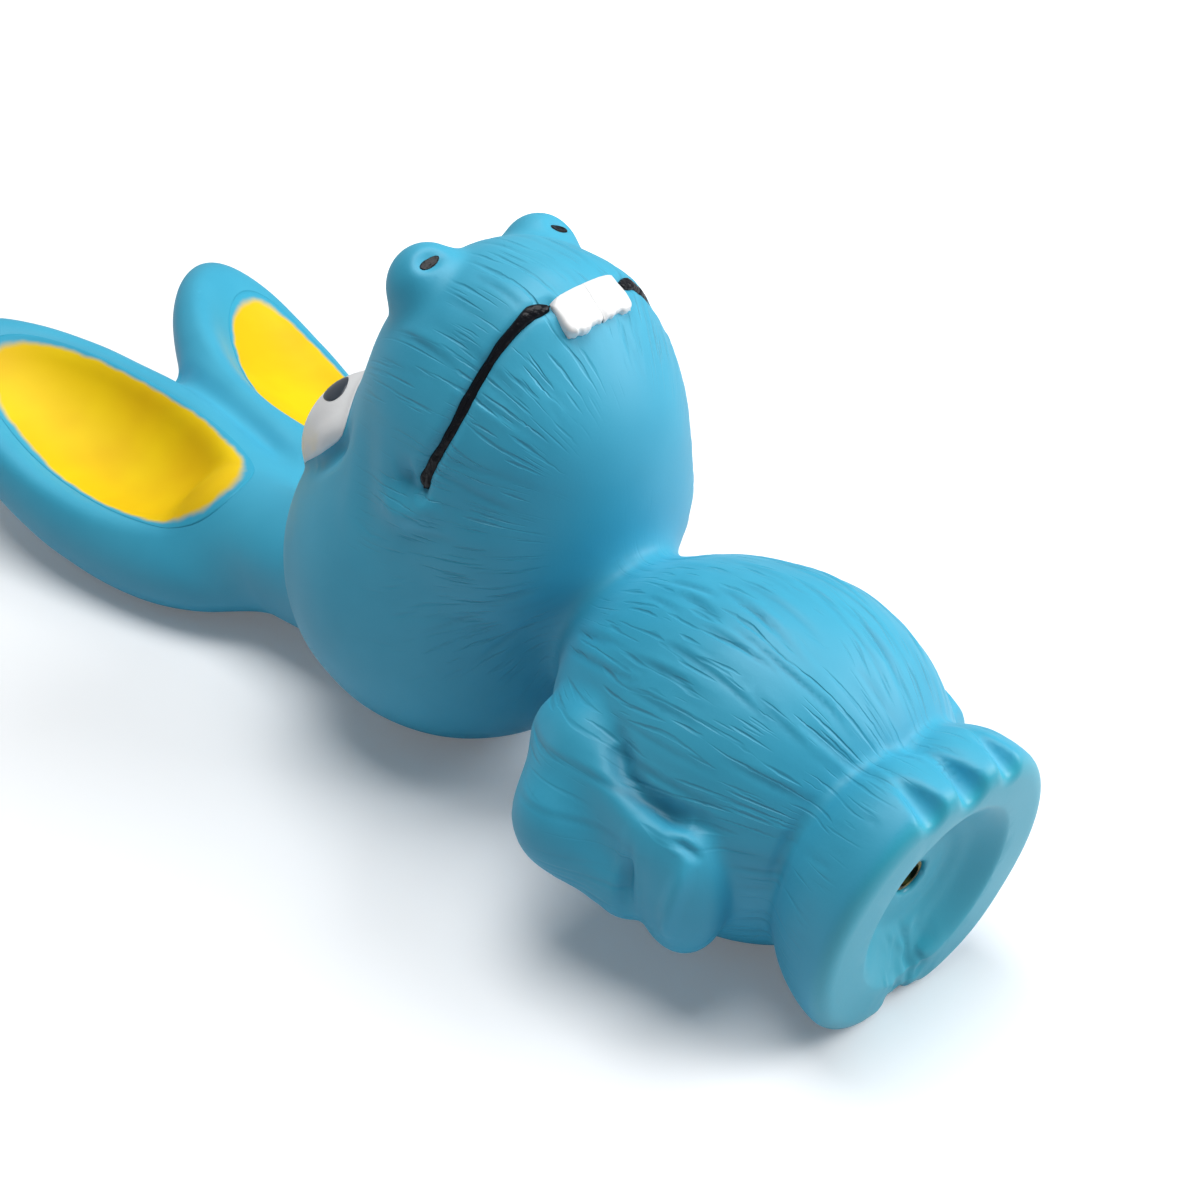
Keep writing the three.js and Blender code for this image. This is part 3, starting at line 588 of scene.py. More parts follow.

# What the latex's material reads: the strokes' flow in mm and their strength, the painted shade of the
# hollows, and the sole
skinSpec = {"wander": 1.1, "armFade": 0.35, "paintedShade": 1.6, "sole": (2.2, 0.4), "recess": (0.98, 0.9)}
flow = turn * np.where(onHead, furSpec["head"]["radius"], furSpec["torso"]["radius"])
flow += planeNoise(turn * 4 + 40, reach / 9) * skinSpec["wander"]
strength = furShare * (1 - skinSpec["armFade"] * armShare)
onSole = smoothStep(*skinSpec["sole"], inward) + smoothStep(*skinSpec["recess"], recessReach) * inSole
writeAttribute(body, "fur", np.stack((flow, reach, strength), axis=1))
writeAttribute(body, "paintedShade", np.clip(paintedShade * skinSpec["paintedShade"], 0, 1))
writeAttribute(body, "sole", onSole)
applyModifier(body, "DECIMATE", ratio=min(1.0, bodySpec["faces"] / (2 * len(body.data.polygons))))
shadeSmooth(body)
print("  faces:", len(body.data.polygons))
bodyFaces = [tuple(f.vertices) for f in body.data.polygons]
bodySurface = BVHTree.FromPolygons([v.co.copy() for v in body.data.vertices], bodyFaces)

# Natural latex, coloured through and moulded: matte with a faint sheen and softly cloudy, with painted shade
# that darkens the carved strokes and creases towards the deep colour, and a smoother, glossier sole
latexSpec = {
    # deep is the colour of the painted shade in the strokes and creases
    "colour": "#37A8CA", "pale": "#40B0D1", "deep": "#12627F", "sole": "#33ABC4",
    "roughness": 0.52, "soleRoughness": 0.4, "ior": 1.5, "sheen": 0.08, "sheenRoughness": 0.4,
    "cloud": 18,  # mm, as the other sizes below
    "grain": 0.45, "grainHeight": 0.08, "grainStrength": 0.12,  # coarser than real grain, too fine to show
    "cutAcross": 0.95, "cutAlong": 7, "cutHeight": 0.22, "cutStrength": 0.7, "paintedCutShade": 0.16,
}
materialLatex, tree, shader = newMaterial("LatexSkyBlue", {
    "IOR": latexSpec["ior"],
    "Sheen Weight": latexSpec["sheen"],
    "Sheen Roughness": latexSpec["sheenRoughness"],
})
spot = addNode(tree, "ShaderNodeTexCoord")
furFlow = addNode(tree, "ShaderNodeAttribute", {"attribute_name": "fur"})
furParts = addNode(tree, "ShaderNodeSeparateXYZ", inputs={0: furFlow.outputs["Vector"]})
paintedShadeShare = addNode(tree, "ShaderNodeAttribute", {"attribute_name": "paintedShade"})
soleShare = addNode(tree, "ShaderNodeAttribute", {"attribute_name": "sole"})
cloud = addNode(tree, "ShaderNodeTexNoise", inputs={
    "Vector": spot.outputs["Object"], "Scale": 1000 / latexSpec["cloud"], "Detail": 3.0,
})
cloudShare = addNode(tree, "ShaderNodeMapRange", inputs={0: cloud.outputs["Fac"], 1: 0.35, 2: 0.7})
base = addNode(tree, "ShaderNodeMix", {"data_type": "RGBA"}, {
    0: cloudShare.outputs[0], 6: toLinear(latexSpec["colour"]), 7: toLinear(latexSpec["pale"]),
})
soled = addNode(tree, "ShaderNodeMix", {"data_type": "RGBA"}, {
    0: soleShare.outputs["Fac"], 6: base.outputs[2], 7: toLinear(latexSpec["sole"]),
})
cutPlace = addNode(tree, "ShaderNodeVectorMath", {"operation": "MULTIPLY"}, {
    0: furFlow.outputs["Vector"], 1: (1 / latexSpec["cutAcross"], 1 / latexSpec["cutAlong"], 0),
})
cutNoise = addNode(tree, "ShaderNodeTexNoise", inputs={
    "Vector": cutPlace.outputs[0], "Scale": 1.0, "Detail": 1.0, "Roughness": 0.4,
})
cutShape = addNode(tree, "ShaderNodeMapRange", inputs={0: cutNoise.outputs["Fac"], 1: 0.58, 2: 0.76})
cutShare = addNode(tree, "ShaderNodeMath", {"operation": "MULTIPLY"}, {
    0: cutShape.outputs[0], 1: furParts.outputs["Z"],
})
# Painted shade: carved strokes and the hollows are mixed towards the deep colour
paintedCutShade = addNode(tree, "ShaderNodeMath", {"operation": "MULTIPLY_ADD"}, {
    0: cutShare.outputs[0], 1: latexSpec["paintedCutShade"], 2: paintedShadeShare.outputs["Fac"],
})
shade = addNode(tree, "ShaderNodeMix", {"data_type": "RGBA"}, {
    0: paintedCutShade.outputs[0], 6: soled.outputs[2], 7: toLinear(latexSpec["deep"]),
})
tree.links.new(shade.outputs[2], shader.inputs["Base Color"])
gloss = addNode(tree, "ShaderNodeMapRange", inputs={
    0: soleShare.outputs["Fac"], 3: latexSpec["roughness"], 4: latexSpec["soleRoughness"],
})
tree.links.new(gloss.outputs[0], shader.inputs["Roughness"])
grain = addNode(tree, "ShaderNodeTexNoise", inputs={
    "Vector": spot.outputs["Object"], "Scale": 1000 / latexSpec["grain"], "Detail": 2.0,
})
grainBump = addNode(tree, "ShaderNodeBump", inputs={
    "Strength": latexSpec["grainStrength"], "Distance": latexSpec["grainHeight"] / 1000,
    "Height": grain.outputs["Fac"],
})
strokeBump = addNode(tree, "ShaderNodeBump", {"invert": True}, {
    "Strength": latexSpec["cutStrength"], "Distance": latexSpec["cutHeight"] / 1000,
    "Height": cutShare.outputs[0], "Normal": grainBump.outputs[0],
})
tree.links.new(strokeBump.outputs[0], shader.inputs["Normal"])
giveMaterial(body, materialLatex)
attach(body, "rabbit")
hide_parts("latex_shell")

print("paint and teeth")
sides = ((-1, "Right"), (1, "Left"))


# A square grid spread over a disc
def discOf(u, v):
    return u * np.sqrt(1 - v**2 / 2), v * np.sqrt(1 - u**2 / 2)


# The rounded section of a coat of paint: full in the middle, thin at its edge
def coat(u, v, sharp):
    return np.sqrt(1 - np.clip(np.hypot(*discOf(u, v)), 0, 0.99) ** sharp)


# A painted or raised patch: a grid is laid on the latex by rays, then given its height as a closed skin.
# It is laid out on the rabbit's left, and side is -1 where it is mirrored to the right. Lift is in mm.
def layPatch(name, side, cells, placeOf, heightOf, lift):
    mirror = (side, 1, 1)
    bpy.ops.object.select_all(action="DESELECT")
    bpy.ops.mesh.primitive_grid_add(x_subdivisions=cells[0], y_subdivisions=cells[1], size=2)
    patch = bpy.context.object
    patch.name = patch.data.name = name
    u, v = readPlaces(patch)[:, :2].T
    starts, ways = placeOf(u, v, side)
    ways = np.broadcast_to(ways, starts.shape) * mirror
    starts = toFrame(starts * mirror)
    hits = [bodySurface.ray_cast(Vector(start), Vector(way)) for start, way in zip(starts, ways)]
    writePlaces(patch, np.array([hit[0] for hit in hits]))
    places = toToy(readPlaces(patch)) * mirror
    if side < 0:
        editAll(patch, bpy.ops.mesh.flip_normals)
    writePlaces(patch, readPlaces(patch) + readNormals(patch) * lift / 1000)
    heights = heightOf(u, v, places)
    group = patch.vertex_groups.new(name="height")
    for index, height in enumerate(heights / heights.max()):
        group.add([index], float(height), "REPLACE")
    writeAttribute(patch, "edge", np.hypot(*discOf(u, v)))
    applyModifier(patch, "SOLIDIFY", thickness=heights.max() / 1000, offset=1, vertex_group="height")
    patch.vertex_groups.clear()
    shadeSmooth(patch)
    return patch


def finishPiece(patch, node, material):
    giveMaterial(patch, material)
    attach(patch, "rabbit")
    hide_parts(node)


def alongAxes(middle, axes, across, along, out):
    return np.asarray(middle) + across[:, None] * axes[0] + along[:, None] * axes[1] + out * axes[2]


# Sprayed latex paint: satin with a fine orange peel, it thins out over the latex at its edge, so that the
# two colours meet softly. It is sprayed by hand, so the two ears differ.
liningSpec = {
    "middle": {-1: (-2.4, 46.0), 1: (2.0, 46.0)}, "half": {-1: (12.9, 35.6), 1: (11.4, 34.0)},
    "above": 34.0, "blunt": 0.2, "height": 0.045, "lift": 0.03, "fade": 0.1,
    "colours": ("#EFC300", "#F7D200"), "roughness": 0.6, "ior": 1.36,
    "waver": 4.545, "waverShare": 0.035, "pool": 16.67,  # mm
    "peel": 1.111, "peelHeight": 0.1, "peelStrength": 0.15,  # mm, coarser than real orange peel
}
materialYellow, tree, shader = newMaterial("SprayedYellowPaint", {
    "Roughness": liningSpec["roughness"], "IOR": liningSpec["ior"],
})
spot = addNode(tree, "ShaderNodeTexCoord")
edge = addNode(tree, "ShaderNodeAttribute", {"attribute_name": "edge"})
waver = addNode(tree, "ShaderNodeTexNoise", inputs={
    "Vector": spot.outputs["Object"], "Scale": 1000 / liningSpec["waver"], "Detail": 2.0,
})
waverShare = addNode(tree, "ShaderNodeMapRange", inputs={
    0: waver.outputs["Fac"], 3: -liningSpec["waverShare"], 4: liningSpec["waverShare"],
})
edgeMoved = addNode(tree, "ShaderNodeMath", {"operation": "ADD"}, {
    0: edge.outputs["Fac"], 1: waverShare.outputs[0],
})
thin = addNode(tree, "ShaderNodeMapRange", {"interpolation_type": "SMOOTHSTEP"}, {
    0: edgeMoved.outputs[0], 1: 1 - liningSpec["fade"], 2: 0.97,
})
pool = addNode(tree, "ShaderNodeTexNoise", inputs={
    "Vector": spot.outputs["Object"], "Scale": 1000 / liningSpec["pool"], "Detail": 2.0,
})
poolShare = addNode(tree, "ShaderNodeMapRange", inputs={0: pool.outputs["Fac"], 1: 0.35, 2: 0.65})
yellow = addNode(tree, "ShaderNodeMix", {"data_type": "RGBA"}, {
    0: poolShare.outputs[0], 6: toLinear(liningSpec["colours"][0]), 7: toLinear(liningSpec["colours"][1]),
})
faded = addNode(tree, "ShaderNodeMix", {"data_type": "RGBA"}, {
    0: thin.outputs[0], 6: yellow.outputs[2], 7: toLinear(latexSpec["colour"]),
})
tree.links.new(faded.outputs[2], shader.inputs["Base Color"])
peel = addNode(tree, "ShaderNodeTexNoise", inputs={
    "Vector": spot.outputs["Object"], "Scale": 1000 / liningSpec["peel"], "Detail": 2.0,
})
peelBump = addNode(tree, "ShaderNodeBump", inputs={
    "Strength": liningSpec["peelStrength"], "Distance": liningSpec["peelHeight"] / 1000,
    "Height": peel.outputs["Fac"],
})
tree.links.new(peelBump.outputs[0], shader.inputs["Normal"])


def liningPlace(u, v, side):
    middle, half = liningSpec["middle"][side], liningSpec["half"][side]
    across, along = discOf(u, v)
    across = across * (1 + liningSpec["blunt"] * np.clip(-along, 0, 1) ** 2)
    above = np.full(len(u), liningSpec["above"])
    local = np.stack((middle[0] + half[0] * across, middle[1] + half[1] * along, above), axis=1)
    return local @ earSpec["turn"].T + earSpec["root"], -earSpec["turn"][:, 2]


def liningHeight(u, v, places):
    return liningSpec["height"] * coat(u, v, 4)


for side, name in sides:
    lining = layPatch(f"EarLining{name}", side, (44, 90), liningPlace, liningHeight, liningSpec["lift"])
    finishPiece(lining, f"ear_lining_{name.lower()}", materialYellow)

# Brushed latex paint, satin white with faint grey patches and the low ridges that the brush left. The
# white covers its mound as far as the lean, in degrees from the mound's axis, that its turn allows: turns
# go round from the outer side, the muzzle's side negative.
eyeSpec = {
    "turns": (-180, -135, -90, -75, -66, -60, -53, -41, -27, -16, 8, 21, 45, 90, 135, 180),
    "leans": (75, 73, 76, 92, 102, 106, 108, 107, 105, 103, 94, 88, 81, 74, 75, 75),
    "leastLean": 34, "mostLean": 110, "turnStep": 5, "edge": 0.9, "smoothings": 3,
    "height": 0.14, "lift": 0.05,
    "colours": ("#E9E9EA", "#F6F6F5"), "roughness": 0.36, "ior": 1.5,
    "patch": 6.667, "ridges": (1.111, 3.846, 1.111), "ridgeHeight": 0.12, "ridgeStrength": 0.25,  # mm
}
materialWhite, tree, shader = newMaterial("BrushedWhitePaint", {
    "Roughness": eyeSpec["roughness"], "IOR": eyeSpec["ior"],
})
spot = addNode(tree, "ShaderNodeTexCoord")
tint = addNode(tree, "ShaderNodeTexNoise", inputs={
    "Vector": spot.outputs["Object"], "Scale": 1000 / eyeSpec["patch"], "Detail": 2.0,
})
tinted = addNode(tree, "ShaderNodeMix", {"data_type": "RGBA"}, {
    0: tint.outputs["Fac"], 6: toLinear(eyeSpec["colours"][0]), 7: toLinear(eyeSpec["colours"][1]),
})
tree.links.new(tinted.outputs[2], shader.inputs["Base Color"])
brushed = addNode(tree, "ShaderNodeMapping", inputs={
    "Vector": spot.outputs["Object"], "Scale": [1000 / ridge for ridge in eyeSpec["ridges"]],
})
brush = addNode(tree, "ShaderNodeTexNoise", inputs={
    "Vector": brushed.outputs[0], "Scale": 1.0, "Detail": 2.0,
})
brushBump = addNode(tree, "ShaderNodeBump", inputs={
    "Strength": eyeSpec["ridgeStrength"], "Distance": eyeSpec["ridgeHeight"] / 1000,
    "Height": brush.outputs["Fac"],
})
tree.links.new(brushBump.outputs[0], shader.inputs["Normal"])
eyeAxes = eyeTurn.T


def eyeWays(turn, lean):
    parts = (np.sin(lean) * np.cos(turn), np.sin(lean) * np.sin(turn), np.cos(lean))
    return sum(np.outer(part, axis) for part, axis in zip(parts, eyeAxes))


# How far the paint leans round the mound at each turn before it would leave it
def moundEdge(turn):
    start = Vector(toFrame(eyeMiddle))
    for lean in range(eyeSpec["leastLean"], eyeSpec["mostLean"]):
        place = bodySurface.ray_cast(start, Vector(eyeWays(turn, math.radians(lean))[0]))[0]
        if eyeForm(toToy([place]))[0] > eyeSpec["edge"]:
            return lean - 1
    return eyeSpec["mostLean"]


edgeTurns = np.radians(np.arange(-180, 181, eyeSpec["turnStep"]))
edgeLeans = np.array([moundEdge(turn) for turn in edgeTurns], float)
edgeLeans = np.minimum(edgeLeans, np.interp(np.degrees(edgeTurns), eyeSpec["turns"], eyeSpec["leans"]))
for smoothing in range(eyeSpec["smoothings"]):
    ring = edgeLeans[:-1]
    ring = (np.roll(ring, 1) + 2 * ring + np.roll(ring, -1)) / 4
    edgeLeans = np.append(ring, ring[0])


def whitePlace(u, v, side):
    across, along = discOf(u, v)
    far, turn = np.hypot(across, along), np.arctan2(along, across)
    ways = eyeWays(turn, np.radians(far * np.interp(turn, edgeTurns, edgeLeans)))
    return np.broadcast_to(np.array(eyeMiddle), ways.shape), ways


def whiteHeight(u, v, places):
    return eyeSpec["height"] * coat(u, v, 6)


# Dabbed latex paint, satin and nearly black, with paler blue specks
pupilSpec = {
    "across": 4.4, "ahead": -7.0, "above": 20.0, "half": (2.3, 2.4), "height": 0.12, "lift": 0.2,
    "colours": ("#1E2733", "#36424F"), "roughness": 0.34, "ior": 1.5, "speck": 1.429,  # mm
}
materialPupil, tree, shader = newMaterial("NavyPupilPaint", {
    "Roughness": pupilSpec["roughness"], "IOR": pupilSpec["ior"],
})
spot = addNode(tree, "ShaderNodeTexCoord")
tint = addNode(tree, "ShaderNodeTexNoise", inputs={
    "Vector": spot.outputs["Object"], "Scale": 1000 / pupilSpec["speck"], "Detail": 2.0,
})
tinted = addNode(tree, "ShaderNodeMix", {"data_type": "RGBA"}, {
    0: tint.outputs["Fac"], 6: toLinear(pupilSpec["colours"][0]), 7: toLinear(pupilSpec["colours"][1]),
})
tree.links.new(tinted.outputs[2], shader.inputs["Base Color"])


def pupilPlace(u, v, side):
    across, along = discOf(u, v)
    across = pupilSpec["across"] + pupilSpec["half"][0] * across
    along = pupilSpec["ahead"] + pupilSpec["half"][1] * along
    return alongAxes(eyeMiddle, eyeAxes, across, along, pupilSpec["above"]), -eyeAxes[2]


def pupilHeight(u, v, places):
    return pupilSpec["height"] * coat(u, v, 4)


for side, name in sides:
    white = layPatch(f"EyeWhite{name}", side, (40, 40), whitePlace, whiteHeight, eyeSpec["lift"])
    finishPiece(white, f"eye_white_{name.lower()}", materialWhite)
    pupil = layPatch(f"Pupil{name}", side, (20, 20), pupilPlace, pupilHeight, pupilSpec["lift"])
    finishPiece(pupil, f"pupil_{name.lower()}", materialPupil)

# Thick gloss paint that pooled in the mouth's groove and in the nostrils: nearly black, with small
# highlights on its lumps
blackSpec = {
    "colour": "#070A12", "roughness": 0.28, "ior": 1.27,
    "lump": 0.769, "lumpHeight": 0.3, "lumpStrength": 0.7,  # mm
}
materialBlack, tree, shader = newMaterial("BlackGlossPaint", {
    "Base Color": toLinear(blackSpec["colour"]), "Roughness": blackSpec["roughness"], "IOR": blackSpec["ior"],
})
spot = addNode(tree, "ShaderNodeTexCoord")
lump = addNode(tree, "ShaderNodeTexNoise", inputs={
    "Vector": spot.outputs["Object"], "Scale": 1000 / blackSpec["lump"], "Detail": 2.0,
})
lumpBump = addNode(tree, "ShaderNodeBump", inputs={
    "Strength": blackSpec["lumpStrength"], "Distance": blackSpec["lumpHeight"] / 1000,
    "Height": lump.outputs["Fac"],
})
tree.links.new(lumpBump.outputs[0], shader.inputs["Normal"])

nostrilPaint = {"half": (1.6, 0.78), "above": 5.0, "height": 0.2, "lift": 0.04}
nostrilOut = np.array(Vector((0.3, -0.32, 0.9)).normalized())
nostrilAcross = np.array(Vector((0.9, 0, -0.3)).normalized())
nostrilAxes = (nostrilAcross, np.cross(nostrilOut, nostrilAcross), nostrilOut)

# The mouth's line runs from -1 at the teeth to 1 at the cheek. It swells in a blob near each end.
mouthSpec = {
    "half": 0.72, "height": 0.6, "edgeHeight": 0.03, "above": 3, "lift": 0.02,
    "blobs": ((-0.86, 0.12, 0.5), (0.88, 0.1, 0.4)),  # place, reach and swelling
    "wavers": ((9, 1, 0.08), (23, 0, 0.04)),  # waves, shift and swelling
}
mouthLine = np.array(mouthPath, float)
mouthOut = slopeOf(toyForm, mouthLine)
mouthOut /= np.linalg.norm(mouthOut, axis=1)[:, None]
mouthSide = np.cross(mouthOut, np.gradient(mouthLine, axis=0))
mouthSide /= np.linalg.norm(mouthSide, axis=1)[:, None]
mouthSteps = np.linspace(-1, 1, len(mouthLine))


def alongMouth(u, values):
    return np.stack([np.interp(u, mouthSteps, values[:, n]) for n in range(3)], axis=1)


def mouthPlace(u, v, side):
    line, out, across = [alongMouth(u, values) for values in (mouthLine, mouthOut, mouthSide)]
    swell = 1 + sum(more * np.exp(-(((u - at) / far) ** 2)) for at, far, more in mouthSpec["blobs"])
    swell += sum(more * np.sin(waves * u + shift) for waves, shift, more in mouthSpec["wavers"])
    half = mouthSpec["half"] * swell * np.sqrt(np.clip(1.002 - np.abs(u) ** 22, 0, 1))
    return line + out * mouthSpec["above"] + across * (v * half)[:, None], -out


def mouthHeight(u, v, places):
    return mouthSpec["edgeHeight"] + mouthSpec["height"] * np.sqrt(1 - np.clip(np.abs(v), 0, 0.999) ** 2.2)


def nostrilPlace(u, v, side):
    across, along = discOf(u, v)
    along = nostrilPaint["half"][1] * along * (1 + 0.15 * across)
    across = nostrilPaint["half"][0] * across
    return alongAxes(nostrilSpec["middle"], nostrilAxes, across, along, nostrilPaint["above"]), -nostrilOut


def nostrilHeight(u, v, places):
    return nostrilPaint["height"] * coat(u, v, 3)


for side, name in sides:
    nostril = layPatch(f"Nostril{name}", side, (18, 18), nostrilPlace, nostrilHeight, nostrilPaint["lift"])
    finishPiece(nostril, f"nostril_{name.lower()}", materialBlack)
    mouth = layPatch(f"MouthLine{name}", side, (150, 12), mouthPlace, mouthHeight, mouthSpec["lift"])
    finishPiece(mouth, f"mouth_line_{name.lower()}", materialBlack)

# Two raised teeth, dipped in white paint that ran out raggedly over their lower edge
toothSpec = {
    "middle": (0, 80.45, 52.9), "lean": 35,  # degrees about the toy's width
    "apart": 3.0, "half": (3.0, 2.9), "above": 40.0, "slant": 0.108, "crown": 0.2,
    "level": 30.65, "fall": 0.15,  # the face's height at the middle, and its fall towards the upper edge
    "ragged": ((3.1, 2.2, 0.2), (7.7, 1.7, 0.12), (17, 0, 0.06)),  # waves, shift and mm
    "groove": 0.55, "grooveReach": 0.2, "edgeFall": 0.2, "softness": 0.8,
}
toothAxes = turnOf(toothSpec["lean"], 0, 0).T


def toothPlace(u, v, side):
    ragged = sum(more * np.sin(waves * u + shift * side) for waves, shift, more in toothSpec["ragged"])
    sideBow = np.where(u > 0, np.sqrt(1 - toothSpec["crown"] * v**2), 1)
    endBow = np.sqrt(1 - toothSpec["crown"] * np.clip(u, 0, 1) ** 2)
    across = toothSpec["apart"] + u * sideBow * toothSpec["half"][0]
    along = v * endBow * toothSpec["half"][1] + np.where(v < 0, ragged * v * v, 0)
    along = along + toothSpec["slant"] * side * across
    return alongAxes(toothSpec["middle"], toothAxes, across, along, toothSpec["above"]), -toothAxes[2]


# Each tooth's face is a flat that stands further out at its free lower edge
def toothHeight(u, v, places):
    local = (places - toothSpec["middle"]) @ toothAxes.T
    face = toothSpec["level"] - toothSpec["fall"] * local[:, 1] - local[:, 2]
    far = (np.clip(u, 0, 1) ** 8 + np.abs(v) ** 8) ** (1 / 8)
    rounding = np.sqrt(1 - np.clip(far, 0, 0.9995) ** 7)
    groove = toothSpec["groove"] * np.exp(-(((u + 1) / toothSpec["grooveReach"]) ** 2))
    proud = face - (groove + toothSpec["edgeFall"] * far**4)
    return (proud + np.sqrt(proud**2 + toothSpec["softness"])) / 2 * rounding


for side, name in sides:
    tooth = layPatch(f"Tooth{name}", side, (34, 34), toothPlace, toothHeight, lift=0.0)
    finishPiece(tooth, f"tooth_{name.lower()}", materialWhite)

print("squeaker")
# Drawn brass, dulled and spotted brown by age, and the bright rolled brass of the leaf inside it
brassSpec = {
    "reed_tube": {"name": "DrawnBrassTarnished", "bright": "#9A8748", "dull": "#3A3320", "roughness": 0.42},
    "reed_tongue": {"name": "RolledSpringBrass", "bright": "#C9AE62", "dull": "#9C8446", "roughness": 0.28},
}
patinaSize = 1.111  # mm
for node, spec in brassSpec.items():
    materialBrass, tree, shader = newMaterial(spec["name"], {"Metallic": 1.0, "Roughness": spec["roughness"]})
    spot = addNode(tree, "ShaderNodeTexCoord")
    patina = addNode(tree, "ShaderNodeTexNoise", inputs={
        "Vector": spot.outputs["Object"], "Scale": 1000 / patinaSize, "Detail": 4.0,
    })
    patinaShare = addNode(tree, "ShaderNodeMapRange", inputs={0: patina.outputs["Fac"], 1: 0.38, 2: 0.6})
    metal = addNode(tree, "ShaderNodeMix", {"data_type": "RGBA"}, {
        0: patinaShare.outputs[0], 6: toLinear(spec["dull"]), 7: toLinear(spec["bright"]),
    })
    tree.links.new(metal.outputs[2], shader.inputs["Base Color"])
    giveMaterial(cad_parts[node], materialBrass)

# Moulded polypropylene: waxy white, faintly mottled
plasticSpec = {"colours": ("#DEDBCF", "#EFEDE4"), "roughness": 0.45, "ior": 1.49, "mottle": 2.857}  # mm
materialPlastic, tree, shader = newMaterial("MouldedWhitePolypropylene", {
    "Roughness": plasticSpec["roughness"], "IOR": plasticSpec["ior"],
})
spot = addNode(tree, "ShaderNodeTexCoord")
mottle = addNode(tree, "ShaderNodeTexNoise", inputs={
    "Vector": spot.outputs["Object"], "Scale": 1000 / plasticSpec["mottle"], "Detail": 2.0,
})
mottled = addNode(tree, "ShaderNodeMix", {"data_type": "RGBA"}, {
    0: mottle.outputs["Fac"], 6: toLinear(plasticSpec["colours"][0]), 7: toLinear(plasticSpec["colours"][1]),
})
tree.links.new(mottled.outputs[2], shader.inputs["Base Color"])
for node in ("squeaker_housing", "squeaker_cap", "reed_wedge"):
    giveMaterial(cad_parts[node], materialPlastic)

print("stage")
# Matte card: the camera sees it glow, weakly beside the toy and to white away from it, a painted light that
# washes out the toy's shadow except close by, and it throws a greyer light back
floorSpec = {
    "size": 6, "below": 0.0002,  # metres
    "colour": "#F4F6F8", "bounce": "#CBD3DA", "roughness": 0.7,
    "shadowFrom": 0.03, "shadowTo": 0.3, "shadowStretch": (1, 0.45, 0), "shadowGlow": 0.14,
}
bpy.ops.mesh.primitive_plane_add(size=floorSpec["size"], location=(0, 0, -floorSpec["below"]))
floor = bpy.context.object
floor.name = "Floor"
floorMaterial, tree, shader = newMaterial("PaleFloor", {
    "Roughness": floorSpec["roughness"], "Emission Color": toLinear(floorSpec["colour"]),
})
glow = addNode(tree, "ShaderNodeLightPath")
glowSeen = addNode(tree, "ShaderNodeMath", {"operation": "MAXIMUM"}, {
    0: glow.outputs["Is Camera Ray"], 1: glow.outputs["Is Glossy Ray"],
})
floorTone = addNode(tree, "ShaderNodeMix", {"data_type": "RGBA"}, {
    0: glowSeen.outputs[0], 6: toLinear(floorSpec["bounce"]), 7: toLinear(floorSpec["colour"]),
})
tree.links.new(floorTone.outputs[2], shader.inputs["Base Color"])
floorSpot = addNode(tree, "ShaderNodeTexCoord")
besideToy = addNode(tree, "ShaderNodeVectorMath", {"operation": "MULTIPLY"}, {
    0: floorSpot.outputs["Object"], 1: floorSpec["shadowStretch"],
})
away = addNode(tree, "ShaderNodeVectorMath", {"operation": "LENGTH"}, {0: besideToy.outputs[0]})
# Painted light: the glow rises from shadowGlow beside the toy to full strength away from it
awayLevel = addNode(tree, "ShaderNodeMapRange", {"interpolation_type": "SMOOTHSTEP"}, {
    0: away.outputs["Value"], 1: floorSpec["shadowFrom"], 2: floorSpec["shadowTo"],
    3: floorSpec["shadowGlow"], 4: 1.0,
})
glowLevel = addNode(tree, "ShaderNodeMath", {"operation": "MULTIPLY"}, {
    0: glow.outputs["Is Camera Ray"], 1: awayLevel.outputs[0],
})
tree.links.new(glowLevel.outputs[0], shader.inputs["Emission Strength"])
giveMaterial(floor, floorMaterial)

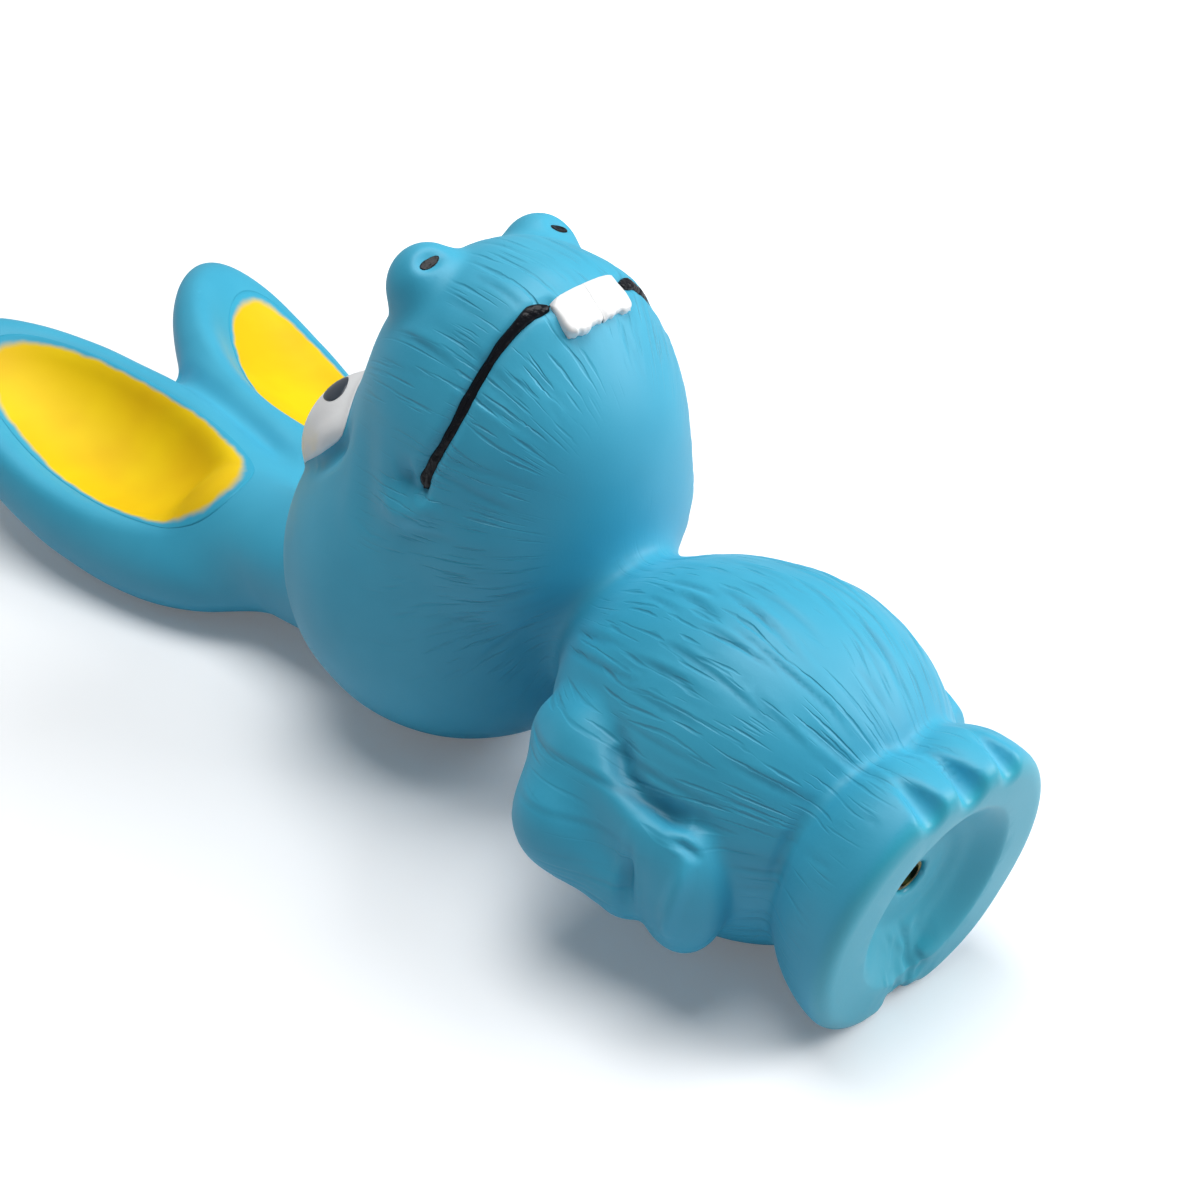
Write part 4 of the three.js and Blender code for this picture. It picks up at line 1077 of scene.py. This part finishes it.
# The camera sees a white room, mirror rays see a grey one, and the toy is lit by a dim one
worldSpec = {"lit": 0.06, "seen": 1.0, "mirrored": 0.34}
world = bpy.data.worlds.new("Studio")
bpy.context.scene.world = world
world.use_nodes = True
tree = world.node_tree
background = tree.nodes["Background"]
background.inputs["Color"].default_value = (1, 1, 1, 1)
way = addNode(tree, "ShaderNodeLightPath")
seen = addNode(tree, "ShaderNodeMath", {"operation": "MAXIMUM"}, {
    0: way.outputs["Is Camera Ray"], 1: way.outputs["Is Transmission Ray"],
})
level = addNode(tree, "ShaderNodeMapRange", inputs={
    0: seen.outputs[0], 3: worldSpec["lit"], 4: worldSpec["seen"],
})
glossyLevel = addNode(tree, "ShaderNodeMath", {"operation": "MULTIPLY_ADD"}, {
    0: way.outputs["Is Glossy Ray"], 1: worldSpec["mirrored"], 2: level.outputs[0],
})
tree.links.new(glossyLevel.outputs[0], background.inputs["Strength"])

lampSpec = {
    "TopLamp": {"place": (0, 0, 0.9), "size": 0.6, "power": 6.6},
    "SideLamp": {"place": (0.5, -0.5, 0.5), "size": 0.5, "power": 5.2},
}
lampAim = Vector((0, -0.03, 0.03))
for name, spec in lampSpec.items():
    lamp = bpy.data.lights.new(name, "AREA")
    lamp.size = spec["size"]
    lamp.energy = spec["power"]
    holder = bpy.data.objects.new(name, lamp)
    bpy.context.scene.collection.objects.link(holder)
    holder.location = spec["place"]
    holder.rotation_euler = (lampAim - holder.location).to_track_quat("-Z", "Y").to_euler()

print("camera")
cameraSpec = {
    "place": (-137.4, -92.3, 157.5),  # mm from the heels
    "forward": (0.5727, 0.6363, -0.5169),
    "roll": 1.157,  # degrees
    "lens": 49.92, "sensor": 36,  # mm
    "nearest": 0.01,  # metres
}
camera = bpy.data.cameras.new("PhotoCamera")
camera.lens = cameraSpec["lens"]
camera.sensor_width = cameraSpec["sensor"]
camera.clip_start = cameraSpec["nearest"]
cameraHolder = bpy.data.objects.new("PhotoCamera", camera)
bpy.context.scene.collection.objects.link(cameraHolder)
cameraHolder.location = toFrame(cameraSpec["place"])
aim = Vector(cameraSpec["forward"]).to_track_quat("-Z", "Y").to_matrix()
rolled = aim @ Matrix.Rotation(math.radians(cameraSpec["roll"]), 3, "Z")
cameraHolder.rotation_euler = rolled.to_euler()
bpy.context.scene.camera = cameraHolder
bpy.context.scene.view_settings.view_transform = "Standard"
